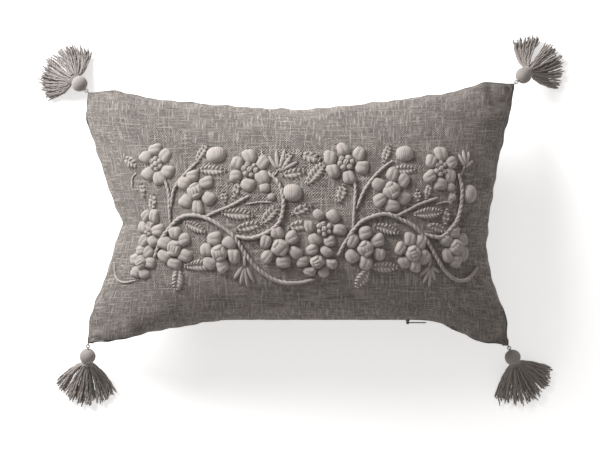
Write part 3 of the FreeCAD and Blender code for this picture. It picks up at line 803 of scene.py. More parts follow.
# ---- the cover's shape -------------------------------------------------------------------------
@dataclass(frozen=True)
class CoverSize:
    """Sizes of the stuffed cover and of its flat panels, in millimetres."""

    half_length: float = 241.0
    half_width: float = 145.0
    reach: tuple[Point, Point, Point, Point] = ((4.5, -2.0), (7.5, 8.0), (5.0, 2.4), (0.5, 4.8))
    side_bow: Pair = (43.0, 31.0)              # left and right
    side_middle: Pair = (-0.06, -0.2)          # share of the half width where each bow is deepest
    left_power: Pair = (1.05, 1.5)             # below and above the middle: a kink, not a curve
    right_power: float = 1.4
    end_ears: tuple[float, float, float, float] = (4.8, 2.5, 5.0, 6.5)     # in CORNERS order
    side_ears: tuple[float, float, float, float] = (5.5, 6.5, 3.5, 6.0)
    ear_from_tip: float = 34.0
    ear_reach: float = 22.0
    upper_bow: float = 26.5
    upper_power: float = 1.4
    lower_bow: float = 26.0
    lower_power: Pair = (1.1, 0.85)
    straight: Pair = (-85.0, 152.0)            # straight part of the lower side
    level_half: float = 158.0
    seam_height: float = 64.0
    corner_height: float = 28.0
    droop_power: Pair = (1.7, 2.2)
    crown: Pair = (70.0, 72.0)                 # front and back
    crown_power: float = 0.62
    flat_half: Pair = (245.0, 151.5)
    cloth: float = 1.4
    hem: float = 7.0
    zip_x: float = 31.0
    zip_hem: float = 2.0
    slit: float = 1.6
    zip_hold: float = 0.85                     # how far the zip holds the seam straight
    slit_half: float = 116.0
    slit_fade: float = 12.0
    slit_power: int = 12
    seam_gap: float = 0.15
    waviness: float = 0.8
    rise_waves: Triple = (41.0, 27.0, 66.0)    # wave lengths of the seam, up and inwards
    sway_waves: Triple = (33.0, 52.0, 21.0)
    halves_apart: float = 900.0                # makes the two halves of the seam differ
    pucker: float = 0.9
    pucker_reach: float = 11.0
    pucker_waves: tuple[float, float, float, float] = (19.0, 29.0, 44.0, 73.0)
    pucker_slant: float = 0.35
    pucker_slant_wave: float = 40.0
    sides_apart: float = 400.0                 # makes the puckers of the sides differ
    floor_gap: float = 0.6
    round_power: int = 8                       # how late a rounded edge falls off
    ear_power: int = 6
    zip_side: float = -0.6                     # share of the half width below which the zip lies


def waves(along: np.ndarray, lengths: Sequence[float], seed: int) -> np.ndarray:
    """Uneven waves of about unit height.

    Args:
        along: distance along an edge, in millimetres.
        lengths: wave lengths, in millimetres.
        seed: picks the phases.

    Returns:
        The sum of the waves at each distance.
    """
    phases = np.random.default_rng(seed).uniform(0, 2 * math.pi, len(lengths))
    parts = [np.sin(2 * math.pi * along / w + p) for w, p in zip(lengths, phases)]
    return sum(parts) / math.sqrt(len(lengths))


class Outline:
    """Seam line and plan of the stuffed cover."""

    def __init__(self, size: CoverSize) -> None:
        """Keep the sizes."""
        self.size = size

    def beyond(self, x: np.ndarray, start: float) -> np.ndarray:
        """0 up to a start, rising to 1 at the cover's end."""
        return np.maximum(0.0, (x - start) / (self.size.half_length - start))

    def place(self, u: np.ndarray, v: np.ndarray) -> tuple[np.ndarray, np.ndarray]:
        """Plan position of a point of the cover.

        Args:
            u: from -1 at the left end to 1 at the right end.
            v: from -1 at the lower side to 1 at the upper side.

        Returns:
            X and Y in millimetres.
        """
        s = self.size
        (tlx, tly), (trx, try_), (blx, bly), (brx, bry) = s.reach
        left = s.half_length + blx * (1 - v) / 2 + tlx * (1 + v) / 2
        right = s.half_length + brx * (1 - v) / 2 + trx * (1 + v) / 2
        middle = np.where(u < 0, *s.side_middle)
        from_middle = np.abs(v - middle) / np.where(v < middle, 1 + middle, 1 - middle)
        kink = np.clip(1 - from_middle, 0, 1) ** np.where(v < middle, *s.left_power)
        bow = np.where(u < 0, s.side_bow[0] * kink,
                       s.side_bow[1] * (1 - from_middle ** s.right_power))
        x = np.where(u < 0, left, right) * u - bow * u ** 3
        along = u * s.half_length
        flank_left = self.beyond(-along, -s.straight[0]) ** s.lower_power[0]
        flank_right = self.beyond(along, s.straight[1]) ** s.lower_power[1]
        flank = np.where(u < 0, flank_left, flank_right)
        lower_bow = s.lower_bow * (1 - flank) - np.where(u < 0, bly, bry) * flank
        upper_end = s.half_width + tly * (1 - u) / 2 + try_ * (1 + u) / 2
        upper_bow = s.upper_bow * (1 - np.abs(u) ** s.upper_power)
        y = np.where(v > 0, upper_end * v - upper_bow * v ** 3,
                     s.half_width * v - lower_bow * v ** 3)
        corner = np.where(v > 0, 0, 2) + np.where(u > 0, 1, 0)
        end_ear, side_ear = np.array(s.end_ears)[corner], np.array(s.side_ears)[corner]
        x = x + np.sign(u) * np.abs(u) ** s.ear_power * end_ear * self.near_tip(v, s.half_width)
        y = y + np.sign(v) * np.abs(v) ** s.ear_power * side_ear * self.near_tip(u, s.half_length)
        return x, y

    def near_tip(self, share: np.ndarray, half: float) -> np.ndarray:
        """1 a little way from a corner's tip along a side, 0 at the tip and along the side.

        Args:
            share: place along the side, from -1 to 1.
            half: half the side's length.

        Returns:
            The share at each place.
        """
        s = self.size
        return np.exp(-(((1 - np.abs(share)) * half - s.ear_from_tip) / s.ear_reach) ** 2)

    def level(self, u: np.ndarray, v: np.ndarray) -> np.ndarray:
        """Height of the seam, drooping into the corners.

        Args:
            u: from -1 at the left end to 1 at the right end.
            v: from -1 at the lower side to 1 at the upper side.

        Returns:
            Height in millimetres.
        """
        s = self.size
        droop = (self.beyond(np.abs(u) * s.half_length, s.level_half) ** s.droop_power[0]
                 * np.abs(v) ** s.droop_power[1])
        return s.seam_height - (s.seam_height - s.corner_height) * droop

    def slit(self, u: np.ndarray, v: np.ndarray) -> np.ndarray:
        """How far a panel's edge stands off the seam along the zip.

        Args:
            u: from -1 at the left end to 1 at the right end.
            v: from -1 at the lower side to 1 at the upper side.

        Returns:
            Distance in millimetres.
        """
        s = self.size
        away = np.abs(u * s.half_length - s.zip_x)
        along = np.clip((s.slit_half + s.slit_fade - away) / s.slit_fade, 0.0, 1.0)
        return s.slit * along * np.maximum(0.0, -v) ** s.slit_power

    def zip_share(self, x: np.ndarray, y: np.ndarray) -> np.ndarray:
        """1 on the seam along the zip, 0 away from it.

        Args:
            x: place along the cover, in millimetres.
            y: place across the cover, in millimetres.

        Returns:
            The share at each place.
        """
        s = self.size
        near = np.clip((s.slit_half + s.slit_fade - np.abs(x - s.zip_x)) / s.slit_fade, 0.0, 1.0)
        return near * (y < s.zip_side * s.half_width)


@dataclass(frozen=True)
class Stuffing:
    """How the flat panels are blown up."""

    columns: int = 120
    rows: int = 74
    frames: int = 20
    pressure: float = 6.0
    stiffness: float = 40.0
    shear: float = 15.0
    bending: float = 1.0
    damping: float = 5.0
    mass: float = 0.01
    quality: int = 7
    friction: float = 5.0
    gap: float = 0.001
    arc: float = 0.9
    floor_half: float = 1.0


class Cover:
    """The cloth cover: two flat panels sewn together, stuffed, and lying on the floor."""

    def __init__(self, size: CoverSize, stuffing: Stuffing) -> None:
        """Blow up the panels and keep their surfaces in metres.

        Args:
            size: the cover's sizes.
            stuffing: how the panels are blown up.
        """
        self.size = size
        self.stuffing = stuffing
        self.outline = Outline(size)
        s = np.linspace(-1, 1, stuffing.columns + 1)
        t = np.linspace(-1, 1, stuffing.rows + 1)
        self.u, self.v = np.meshgrid(s, t, indexing="ij")
        self.edge = (np.abs(self.u) == 1) | (np.abs(self.v) == 1)
        front, back = self.start_shape()
        front, back = self.stuffed(front, back)
        self.front = self.finished(front, 1)
        self.back = self.finished(back, -1)
        self.flat = self.refined(np.stack([self.u * size.flat_half[0],
                                           self.v * size.flat_half[1]], axis=-1)) * MM

    def start_shape(self) -> tuple[np.ndarray, np.ndarray]:
        """Roughly plump shape of both panels, on the right seam line.

        Returns:
            Front and back points, in metres.
        """
        s = self.size
        arc = self.stuffing.arc * math.pi / 2
        u = np.where(self.edge, self.u, (np.sin(self.u * arc) / math.sin(arc) + self.u) / 2)
        v = np.where(self.edge, self.v, (np.sin(self.v * arc) / math.sin(arc) + self.v) / 2)
        x, y = self.outline.place(u, v)
        level = self.outline.level(u, v)
        around = np.where(np.abs(self.u) == 1, y, x)
        around = around + np.where(self.u + self.v > 0, s.halves_apart, 0.0)
        calm = ((2 - u ** s.round_power - v ** s.round_power)
                * (1 - s.zip_hold * self.outline.slit(u, v) / s.slit))
        rise = s.waviness * calm * waves(around, s.rise_waves, 5)
        inward = s.waviness * calm * waves(around, s.sway_waves, 6)
        level = level + np.where(self.edge, rise, 0.0)
        y = y + np.where(np.abs(self.v) == 1, inward, 0.0)
        x = x + np.where(np.abs(self.u) == 1, inward, 0.0)
        plump = (np.clip(1 - u * u, 0, 1) * np.clip(1 - v * v, 0, 1)) ** s.crown_power
        front = np.stack([x, y, level + s.crown[0] * plump], axis=-1)
        back = np.stack([x, y, np.maximum(level - s.crown[1] * plump, 1.0)], axis=-1)
        return front * MM, back * MM

    def stuffed(self, front: np.ndarray, back: np.ndarray) -> tuple[np.ndarray, np.ndarray]:
        """Run the cloth simulation: flat panels under pressure, held at the seam.

        Args:
            front: start of the front panel's points.
            back: start of the back panel's points.

        Returns:
            Front and back points after the simulation.
        """
        p = self.stuffing
        rows, columns = self.u.shape
        count = rows * columns
        upper = np.arange(count).reshape(rows, columns)
        lower = upper.copy()
        inner = ~self.edge
        lower[inner] = count + np.arange(inner.sum())
        places = np.concatenate([front.reshape(-1, 3), back[inner]])
        half = self.size.flat_half
        flat = np.stack([self.u * half[0], self.v * half[1], np.zeros_like(self.u)], axis=-1) * MM
        faces = []
        for grid, turn in ((upper, 1), (lower, -1)):
            quads = np.stack([grid[:-1, :-1], grid[1:, :-1], grid[1:, 1:], grid[:-1, 1:]], axis=-1)
            faces.append(quads.reshape(-1, 4)[:, ::turn])
        bag = new_object("stuffed_bag", places, np.concatenate(faces))
        bag.shape_key_add(name="Basis")
        rest = bag.shape_key_add(name="flat")
        rest.data.foreach_set("co", np.concatenate(
            [flat.reshape(-1, 3), flat[inner]]).astype(np.float32).ravel())
        rest.value = 0.0
        seam = bag.vertex_groups.new(name="seam")
        seam.add([int(i) for i in upper[self.edge]], 1.0, "REPLACE")
        floor = flat_square("sim_floor", p.floor_half)
        floor.modifiers.new("hit", "COLLISION")
        floor.collision.thickness_outer = p.gap
        floor.collision.cloth_friction = p.friction
        cloth = bag.modifiers.new("cloth", "CLOTH")
        self.set_cloth(cloth, rest)
        scene = bpy.context.scene
        for frame_number in range(1, p.frames + 1):
            scene.frame_set(frame_number)
        graph = bpy.context.evaluated_depsgraph_get()
        result = bag.evaluated_get(graph).to_mesh()
        out = np.zeros(len(result.vertices) * 3, dtype=np.float32)
        result.vertices.foreach_get("co", out)
        out = out.reshape(-1, 3).astype(float)
        scene.frame_set(1)
        discard(bag)
        discard(floor)
        return out[upper], out[lower]

    def set_cloth(self, cloth: bpy.types.Modifier, rest: bpy.types.ShapeKey) -> None:
        """Set the cloth simulation up.

        Args:
            cloth: the cloth modifier.
            rest: shape key of the unstretched flat panels.
        """
        p = self.stuffing
        s = cloth.settings
        s.rest_shape_key = rest
        s.vertex_group_mass = "seam"
        s.pin_stiffness = 1.0
        s.quality = p.quality
        s.mass = p.mass
        s.air_damping = 1.0
        s.tension_stiffness = p.stiffness
        s.compression_stiffness = p.stiffness
        s.shear_stiffness = p.shear
        s.bending_stiffness = p.bending
        s.tension_damping = p.damping
        s.compression_damping = p.damping
        s.shear_damping = p.damping
        s.use_pressure = True
        s.uniform_pressure_force = p.pressure
        s.effector_weights.gravity = 0.0
        cloth.collision_settings.use_collision = True
        cloth.collision_settings.distance_min = p.gap
        cloth.collision_settings.use_self_collision = False
        cloth.point_cache.frame_start = 1
        cloth.point_cache.frame_end = p.frames

    @staticmethod
    def refined(grid: np.ndarray) -> np.ndarray:
        """Put a smooth point between each two points of a grid, both ways.

        Args:
            grid: the points, or values over the same grid.

        Returns:
            The finer grid.
        """
        for _ in range(2):
            before = np.concatenate([2 * grid[:1] - grid[1:2], grid[:-2]])
            after = np.concatenate([grid[2:], 2 * grid[-1:] - grid[-2:-1]])
            middle = (9 * (grid[:-1] + grid[1:]) - before - after) / 16
            out = np.empty((2 * len(grid) - 1, *grid.shape[1:]))
            out[::2] = grid
            out[1::2] = middle
            grid = out.swapaxes(0, 1)
        return grid

    def finished(self, grid: np.ndarray, side: int) -> np.ndarray:
        """Refine a panel, pucker it near the seam and open the zip's slit.

        Args:
            grid: the panel's simulated points.
            side: 1 for the front, -1 for the back.

        Returns:
            The refined points.
        """
        s = self.size
        grid = self.refined(grid)
        u = self.refined(self.u[..., None])[..., 0]
        v = self.refined(self.v[..., None])[..., 0]
        from_end = (1 - np.abs(u)) * s.flat_half[0]
        from_side = (1 - np.abs(v)) * s.flat_half[1]
        amount = np.zeros_like(u)
        for away, across, seed in ((from_side, u * s.flat_half[0], 11),
                                   (from_end, v * s.flat_half[1], 17)):
            swell = away / s.pucker_reach * np.exp(1 - away / s.pucker_reach)
            sway = across + s.pucker_slant * away * np.sin(across / s.pucker_slant_wave)
            sway = sway + s.sides_apart * np.sign(u + v)
            amount += swell * waves(sway, s.pucker_waves, seed + side)
        grid = grid + surface_normals(grid, side) * (amount * s.pucker * MM)[..., None]
        grid[..., 2] += side * MM * self.outline.slit(u, v)
        grid[..., 2] = np.maximum(grid[..., 2], s.floor_gap * MM)
        return grid

    def with_hem(self, grid: np.ndarray, side: int) -> tuple[np.ndarray, np.ndarray]:
        """Add the turned-in hem round a panel.

        Args:
            grid: the panel's points.
            side: 1 for the front, -1 for the back.

        Returns:
            Points and flat cloth coordinates with one more ring.
        """
        s = self.size
        grid = grid.copy()
        for rim in (np.s_[0, :, 2], np.s_[-1, :, 2], np.s_[1:-1, 0, 2], np.s_[1:-1, -1, 2]):
            grid[rim] += side * s.seam_gap * MM
        wide = np.pad(grid, ((1, 1), (1, 1), (0, 0)), mode="edge")
        flat = np.pad(self.flat, ((1, 1), (1, 1), (0, 0)), mode="edge")
        share = self.outline.zip_share(wide[..., 0] / MM, wide[..., 1] / MM)
        depth = (s.hem + (s.zip_hem - s.hem) * share) * MM
        wide[0, :, 0] += s.hem * MM
        wide[-1, :, 0] -= s.hem * MM
        wide[:, 0, 1] += depth[:, 0]
        wide[:, -1, 1] -= s.hem * MM
        flat[0, :, 0] -= s.hem * MM
        flat[-1, :, 0] += s.hem * MM
        flat[:, 0, 1] -= s.hem * MM
        flat[:, -1, 1] += s.hem * MM
        return wide, flat

    def panel(self, name: str, node: str, side: int) -> bpy.types.Object:
        """Build one panel of real thickness, sewn at the seam.

        Args:
            name: the piece's name.
            node: the frame's node that it stands for.
            side: 1 for the front, -1 for the back.

        Returns:
            The panel.
        """
        grid, flat = self.with_hem(self.front if side > 0 else self.back, side)
        inner = grid - surface_normals(grid, side) * self.size.cloth * MM
        made = closed_sheet(name, grid, inner, flat, side)
        dress(made, COVER_CLOTH)
        smooth(made)
        on_seam = np.zeros((2, *grid.shape[:2]), dtype=bool)
        on_seam[0, 1:-1, [1, -2]] = True
        on_seam[0, [1, -2], 1:-1] = True
        crisp(made, on_seam.ravel())
        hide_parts(node)
        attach(made, "pillow")
        return made

    def inside(self, share: float, gap: float) -> tuple[np.ndarray, np.ndarray]:
        """Shape of something that fills the cover and closes along its own seam.

        Args:
            share: its size in the cover's plan.
            gap: distance inside the cover's outer face, in millimetres.

        Returns:
            Its front and back points.
        """
        front = self.front - surface_normals(self.front, 1) * gap * MM
        back = self.back - surface_normals(self.back, -1) * gap * MM
        rows, columns = front.shape[:2]
        i = np.linspace(-share, share, rows // 2)
        j = np.linspace(-share, share, columns // 2)
        u, v = np.meshgrid(i, j, indexing="ij")
        front = sampled(front, u, v)
        back = sampled(back, u, v)
        middle = (front + back) / 2
        power = self.size.round_power
        full = 1 - np.maximum(np.abs(u), np.abs(v))[..., None] ** power / share ** power
        return middle + (front - middle) * full, middle + (back - middle) * full


def surface_normals(grid: np.ndarray, side: int) -> np.ndarray:
    """Unit normals of a grid of points.

    Args:
        grid: the points.
        side: 1 if the outside is up, -1 if it is down.

    Returns:
        One normal per point.
    """
    normal = np.cross(np.gradient(grid, axis=0), np.gradient(grid, axis=1)) * side
    return normal / np.maximum(np.linalg.norm(normal, axis=-1, keepdims=True), 1e-12)


def sampled(grid: np.ndarray, u: np.ndarray, v: np.ndarray) -> np.ndarray:
    """Bilinear value of a grid.

    Args:
        grid: values over u and v from -1 to 1.
        u: places along the first axis.
        v: places along the second axis.

    Returns:
        The value at each place.
    """
    rows, columns = grid.shape[:2]
    a = (np.asarray(u) + 1) / 2 * (rows - 1)
    b = (np.asarray(v) + 1) / 2 * (columns - 1)
    i = np.clip(a.astype(int), 0, rows - 2)
    j = np.clip(b.astype(int), 0, columns - 2)
    a = (a - i)[..., None]
    b = (b - j)[..., None]
    return ((1 - a) * (1 - b) * grid[i, j] + a * (1 - b) * grid[i + 1, j]
            + (1 - a) * b * grid[i, j + 1] + a * b * grid[i + 1, j + 1])


def closed_sheet(name: str, outer: np.ndarray, inner: np.ndarray, flat: np.ndarray,
                 side: int) -> bpy.types.Object:
    """Make a closed solid from two skins over the same grid.

    Args:
        name: the object's name.
        outer: outer skin's points.
        inner: inner skin's points.
        flat: flat cloth coordinates.
        side: 1 if the outside is up, -1 if it is down.

    Returns:
        The solid.
    """
    rows, columns = outer.shape[:2]
    one = np.arange(rows * columns).reshape(rows, columns)
    two = one + rows * columns
    faces = []
    for ids, turn in ((one, side), (two, -side)):
        quads = np.stack([ids[:-1, :-1], ids[1:, :-1], ids[1:, 1:], ids[:-1, 1:]], axis=-1)
        faces.append(quads.reshape(-1, 4)[:, ::turn])
    ring = np.concatenate([one[:-1, 0], one[-1, :-1], one[:0:-1, -1], one[0, :0:-1]])
    after = np.roll(ring, -1)
    rim = np.stack([ring, ring + rows * columns, after + rows * columns, after], axis=-1)
    faces.append(rim[:, ::side])
    points = np.concatenate([outer.reshape(-1, 3), inner.reshape(-1, 3)])
    return new_object(name, points, np.concatenate(faces),
                      maps={"cloth": np.concatenate([flat.reshape(-1, 2)] * 2)})


class ClothSurface:
    """Finds places on the stuffed front panel by their place on the flat cloth."""

    def __init__(self, cover: Cover) -> None:
        """Keep the front panel's points and normals.

        Args:
            cover: the stuffed cover.
        """
        self.half = cover.size.flat_half
        self.points = cover.front
        self.normals = surface_normals(cover.front, 1)
        along = np.gradient(cover.front, axis=0)
        self.along = along / np.linalg.norm(along, axis=-1, keepdims=True)

    def at(self, x: np.ndarray, y: np.ndarray) -> tuple[np.ndarray, np.ndarray, np.ndarray]:
        """Find places on the surface.

        Args:
            x: flat places along the cloth, in millimetres.
            y: flat places across the cloth, in millimetres.

        Returns:
            Points in metres, outward normals, and directions along the cloth.
        """
        u = np.asarray(x) / self.half[0]
        v = np.asarray(y) / self.half[1]
        return (sampled(self.points, u, v), sampled(self.normals, u, v),
                sampled(self.along, u, v))


@dataclass(frozen=True)
class InsertSize:
    """Size of the insert: share of the cover's plan, and gap inside the cover in millimetres."""

    casing: Pair = (0.93, 4.5)
    filling: Pair = (0.91, 6.0)


class Insert:
    """The stuffed insert: a casing full of fibre, closed along its own seam."""

    def __init__(self, cover: Cover, size: InsertSize) -> None:
        """Keep the cover that it fills and its own size."""
        self.cover = cover
        self.size = size

    def build(self) -> list[bpy.types.Object]:
        """Build the casing and the filling.

        Returns:
            Both pieces.
        """
        made = []
        for name, node, finish, (share, gap) in (
                ("insert_casing_cloth", "insert_casing", CASING_CLOTH, self.size.casing),
                ("fibre_filling", "fibre_fill", FILLING, self.size.filling)):
            front, back = self.cover.inside(share, gap)
            piece = closed_sheet(name, front, back, front[..., :2], 1)
            dress(piece, finish)
            smooth(piece)
            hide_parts(node)
            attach(piece, "pillow")
            made.append(piece)
        return made


# ---- embroidery --------------------------------------------------------------------------------
class Centre(Enum):
    """How the middle of a flower is stitched."""

    KNOT = "one big folded knot"
    CURLS = "a ring of small curls round a small knot"


@dataclass(frozen=True)
class Flower:
    """One flower of the motif, placed on the flat cloth in millimetres."""

    x: float
    y: float
    turn: float
    centre: Centre = Centre.KNOT
    ring: float = 15.0
    scale: float = 1.0


Leaf = tuple[float, float, float, float, float]      # middle, length, width, direction
Line = tuple[Point, ...]


@dataclass(frozen=True)
class Motif:
    """One repeat of the embroidery on the flat cloth, in millimetres from the left repeat."""

    buds: tuple[Leaf, ...]
    leaves: tuple[Leaf, ...]
    vines: tuple[Line, ...]
    twigs: tuple[Line, ...]
    prongs: tuple[Line, ...]


FLOWERS = (
    Flower(-146, 51, 35, Centre.CURLS, 15.5), Flower(-101, 23, 34),
    Flower(-46, 44, 30, Centre.CURLS, 14.5), Flower(-127, -32, 32),
    Flower(-76, -37, 47, Centre.KNOT, 14.5), Flower(-18, -31, 36),
    Flower(-166, -13, 57, Centre.CURLS, 14.0, 0.9), Flower(-172, -46, 53, Centre.KNOT, 13.0, 0.85),
)
MOTIFS = {
    "left": Motif(
        buds=((-79, 61, 22, 19, 8), (-7, 21, 21, 20, 0), (-32, 26, 12, 11, 0), (-26, 17, 9, 8, 0)),
        leaves=((-94, 63, 24, 7, 60), (-84, 44, 30, 9, -3), (-7, 40, 22, 9, 10),
                (-59, 24, 17, 6, 75), (-71, 17, 11, 6, 100), (-59, 1, 33, 10, -5),
                (-28, 0, 25, 9, 48), (-48, -11, 27, 9, 12), (-104, -11, 28, 9, -20),
                (-97, -50, 36, 11, 2), (-121, -65, 27, 11, -95), (-158, 12, 20, 8, 70),
                (-184, 54, 20, 9, -30), (-14, 52, 24, 8, 62), (-170, 25, 14, 6, 90)),
        vines=(((-153, -41), (-147, -26), (-136, -13), (-122, -3), (-105, 0), (-87, -4),
                (-71, -13), (-60, -22), (-51, -36), (-39, -53), (-26, -65), (-14, -70),
                (0, -70), (13, -66)),
               ((-29, 41), (-20, 31), (-16, 20), (-15, 8), (-19, -7), (-31, -17), (-46, -22),
                (-60, -20))),
        twigs=(((-137, 36), (-133, 20), (-134, 8), (-135, -7)),
               ((-97, 54), (-114, 38), (-126, 25), (-132, 8)),
               ((-92, -2), (-80, 3), (-64, 9), (-47, 18)),
               ((-50, 10), (-38, 12), (-26, 12)),
               ((-178, -66), (-195, -68), (-207, -66), (-220, -59), (-228, -48)),
               ((-176, 42), (-184, 37), (-187, 28)),
               ((-24, 37), (-19, 45))),
        prongs=(((-20, 44), (-30, 60)), ((-20, 44), (-22, 67)), ((-19, 44), (-13, 68)),
                ((-18, 44), (-5, 62)), ((-18, 43), (0, 53)), ((-51, -50), (-63, -67)),
                ((-51, -52), (-56, -74)), ((-51, -52), (-48, -78)), ((-50, -51), (-41, -71)),
                ((-51, -38), (-51, -54)))),
    "right": Motif(
        buds=((-88, 60, 20, 18, 5), (1, 20, 17, 21, 0), (-30, 26, 11, 10, 0), (-26, 17, 9, 8, 0)),
        leaves=((-107, 60, 22, 7, 72), (-90, 43, 28, 9, 3), (-150, 20, 18, 8, 75),
                (-187, 5, 20, 8, 25), (-189, -10, 22, 9, 10), (-59, 2, 36, 10, 4),
                (-34, -2, 15, 8, 85), (-46, -12, 24, 8, -15), (-27, 18, 18, 7, 70),
                (-106, -13, 28, 9, -16), (-108, -52, 29, 11, -2), (-129, -65, 27, 11, -117),
                (-179, 58, 20, 10, -20), (-174, 40, 30, 10, 53), (-60, 22, 17, 6, 75),
                (-72, 18, 11, 6, 100)),
        vines=(((-153, -39), (-147, -27), (-137, -12), (-127, -4), (-107, 1), (-89, -5),
                (-74, -12), (-60, -24), (-48, -40), (-37, -55), (-23, -65), (-7, -66),
                (8, -59), (21, -51)),
               ((-21, 39), (-14, 25), (-13, 14), (-14, 4), (-20, -7), (-38, -20), (-49, -21),
                (-63, -18))),
        twigs=(((-138, 33), (-137, 23), (-138, 7), (-139, -12)),
               ((-101, 52), (-110, 45), (-120, 35), (-129, 22), (-136, 6)),
               ((-101, -3), (-84, 4), (-70, 10), (-48, 16)),
               ((-50, 10), (-38, 12), (-27, 12)),
               ((-17, 37), (-12, 46))),
        prongs=(((-12, 44), (-20, 60)), ((-12, 45), (-14, 64)), ((-11, 45), (-5, 63)),
                ((-11, 44), (2, 54)), ((-55, -42), (-56, -53)), ((-56, -51), (-68, -63)),
                ((-56, -52), (-63, -72)), ((-56, -53), (-56, -78)), ((-55, -52), (-48, -69)),
                ((-55, -51), (-42, -59)))),
}
REPEAT_PITCH = 188.0


def smooth_line(points: Sequence[Point], step: float) -> np.ndarray:
    """Draw an even smooth line through points.

    Args:
        points: the points to pass through.
        step: spacing of the result, in the same unit.

    Returns:
        Points along the line, one per row.
    """
    p = np.array(points, dtype=float)
    p = np.concatenate([2 * p[:1] - p[1:2], p, 2 * p[-1:] - p[-2:-1]])
    fine = []
    for i in range(1, len(p) - 2):
        t = np.linspace(0, 1, 12, endpoint=False)[:, None]
        a, b, c, d = p[i - 1], p[i], p[i + 1], p[i + 2]
        fine.append(b + t * (c - a) / 2 + t ** 2 * (a - 2.5 * b + 2 * c - d / 2)
                    + t ** 3 * (1.5 * (b - c) + (d - a) / 2))
    line = np.concatenate(fine + [p[-2:-1]])
    run = np.concatenate([[0], np.cumsum(np.linalg.norm(np.diff(line, axis=0), axis=1))])
    even = np.linspace(0, run[-1], max(3, int(run[-1] / step) + 1))
    return np.stack([np.interp(even, run, line[:, k]) for k in range(line.shape[1])], axis=1)


class PadRow:
    """Places for copies of one pad on the cloth."""

    def __init__(self, pad: Pad) -> None:
        """Start with no places."""
        self.pad = pad
        self.rows: list[tuple[float, ...]] = []

    def add(self, x: float, y: float, direction: float, size: Pair = (1.0, 1.0),
            lift: float = 0.0, height: float = 1.0) -> None:
        """Add one place.

        Args:
            x: flat place along the cloth, in millimetres.
            y: flat place across the cloth, in millimetres.
            direction: which way the pad's length points, in degrees from along the cloth.
            size: share of the pad's own length and width.
            lift: height of its foot above the cloth, in millimetres.
            height: share of the pad's own height.
        """
        self.rows.append((x, y, direction, size[0], size[1], lift, height))

    def build(self, name: str, surface: ClothSurface, trees: GeometryTrees, seed: int,
              finish: Finish) -> bpy.types.Object:
        """Lay the pads on the cloth.

        Args:
            name: the object's name.
            surface: the stuffed front panel.
            trees: the geometry trees.
            seed: seed of the small differences in size.
            finish: the pads' finish.

        Returns:
            One object with all the pads.
        """
        rows = np.array(self.rows)
        place, normal, along = surface.at(rows[:, 0], rows[:, 1])
        turns = np.empty((len(rows), 3))
        for i, angle in enumerate(np.radians(rows[:, 2])):
            up = Vector(normal[i]).normalized()
            across = up.cross(Vector(along[i])).normalized()
            ahead = (across.cross(up) * math.cos(angle) + across * math.sin(angle)).normalized()
            turns[i] = Matrix((ahead, up.cross(ahead), up)).transposed().to_euler()
        points = new_object(name + "_places", place + normal * rows[:, 5:6] * MM, ())
        set_attribute(points, "turn", "FLOAT_VECTOR", turns)
        set_attribute(points, "size", "FLOAT_VECTOR", rows[:, [3, 4, 6]])
        source = self.pad.source(name + "_pad")
        made = trees.run(points, trees.pads, {"Pad": source, "Unevenness": 0.06, "Seed": seed,
                                              "Material": finish.material()}, name)
        discard(source)
        return made


@dataclass(frozen=True)
class StitchSize:
    """Sizes of the stitching, in millimetres."""

    petal: Pad = Pad(7.8, 7.5, 5.6, square=2.7, crease=0.16, lump=0.07)
    knot: Pad = Pad(6.8, 5.2, 8.2, square=2.3, crease=0.14, lump=0.05)
    curl: Pad = Pad(3.6, 2.9, 5.6, square=2.2, crease=0.2, rings=5, sides=14)
    bud: Pad = Pad(5.0, 5.0, 4.4, square=2.2, rings=9, sides=32)
    blade: Pad = Pad(10.0, 5.0, 1.5, square=1.6, crease=0.5, rings=6, sides=28)
    rib: Pad = Pad(3.0, 1.25, 3.0, square=2.2, rings=4, sides=12)
    prong: Pad = Pad(5.0, 2.3, 2.6, square=1.8, rings=5, sides=14)
    knot_reach: float = 3.6
    curl_reach: float = 5.6
    leaf_width: float = 1.22
    rib_pitch: float = 3.5
    rib_slant: float = 52.0
    vine_radius: float = 2.5
    twig_radius: float = 1.9
    fine_radius: float = 1.1
    lay: float = 12.0
    step: float = 1.2
    sink: float = 0.35
    cord_sides: int = 9
    petals: int = 6
    knots: int = 4                             # folds round a big knot
    curls: int = 6
    knot_middle: float = 0.95                  # size of the stitch in the middle
    curl_middle: float = 1.25
    petal_sway: float = 7.0                    # degrees and millimetres off the even ring
    petal_shift: float = 0.8
    petal_lay: float = 25.0                    # turn of a petal's own stitches
    fold_sway: float = 8.0
    uneven_height: Pair = (0.85, 1.15)
    rib_rows: Pair = (0.52, 0.62)              # place and length of a rib, as shares
    leaf_round: Pair = (1.8, 0.8)              # powers of a leaf's outline
    rib_end: float = 0.4                       # half width left at a leaf's tips
    rib_ahead: float = 0.5
    end_rate: float = 8.0                      # how quickly a cord reaches its full thickness
    cord_lump: float = 0.06


QUARTERS = (0.0, 90.0, 180.0, 270.0)
STITCH_SEEDS = {"left": 31, "right": 47}


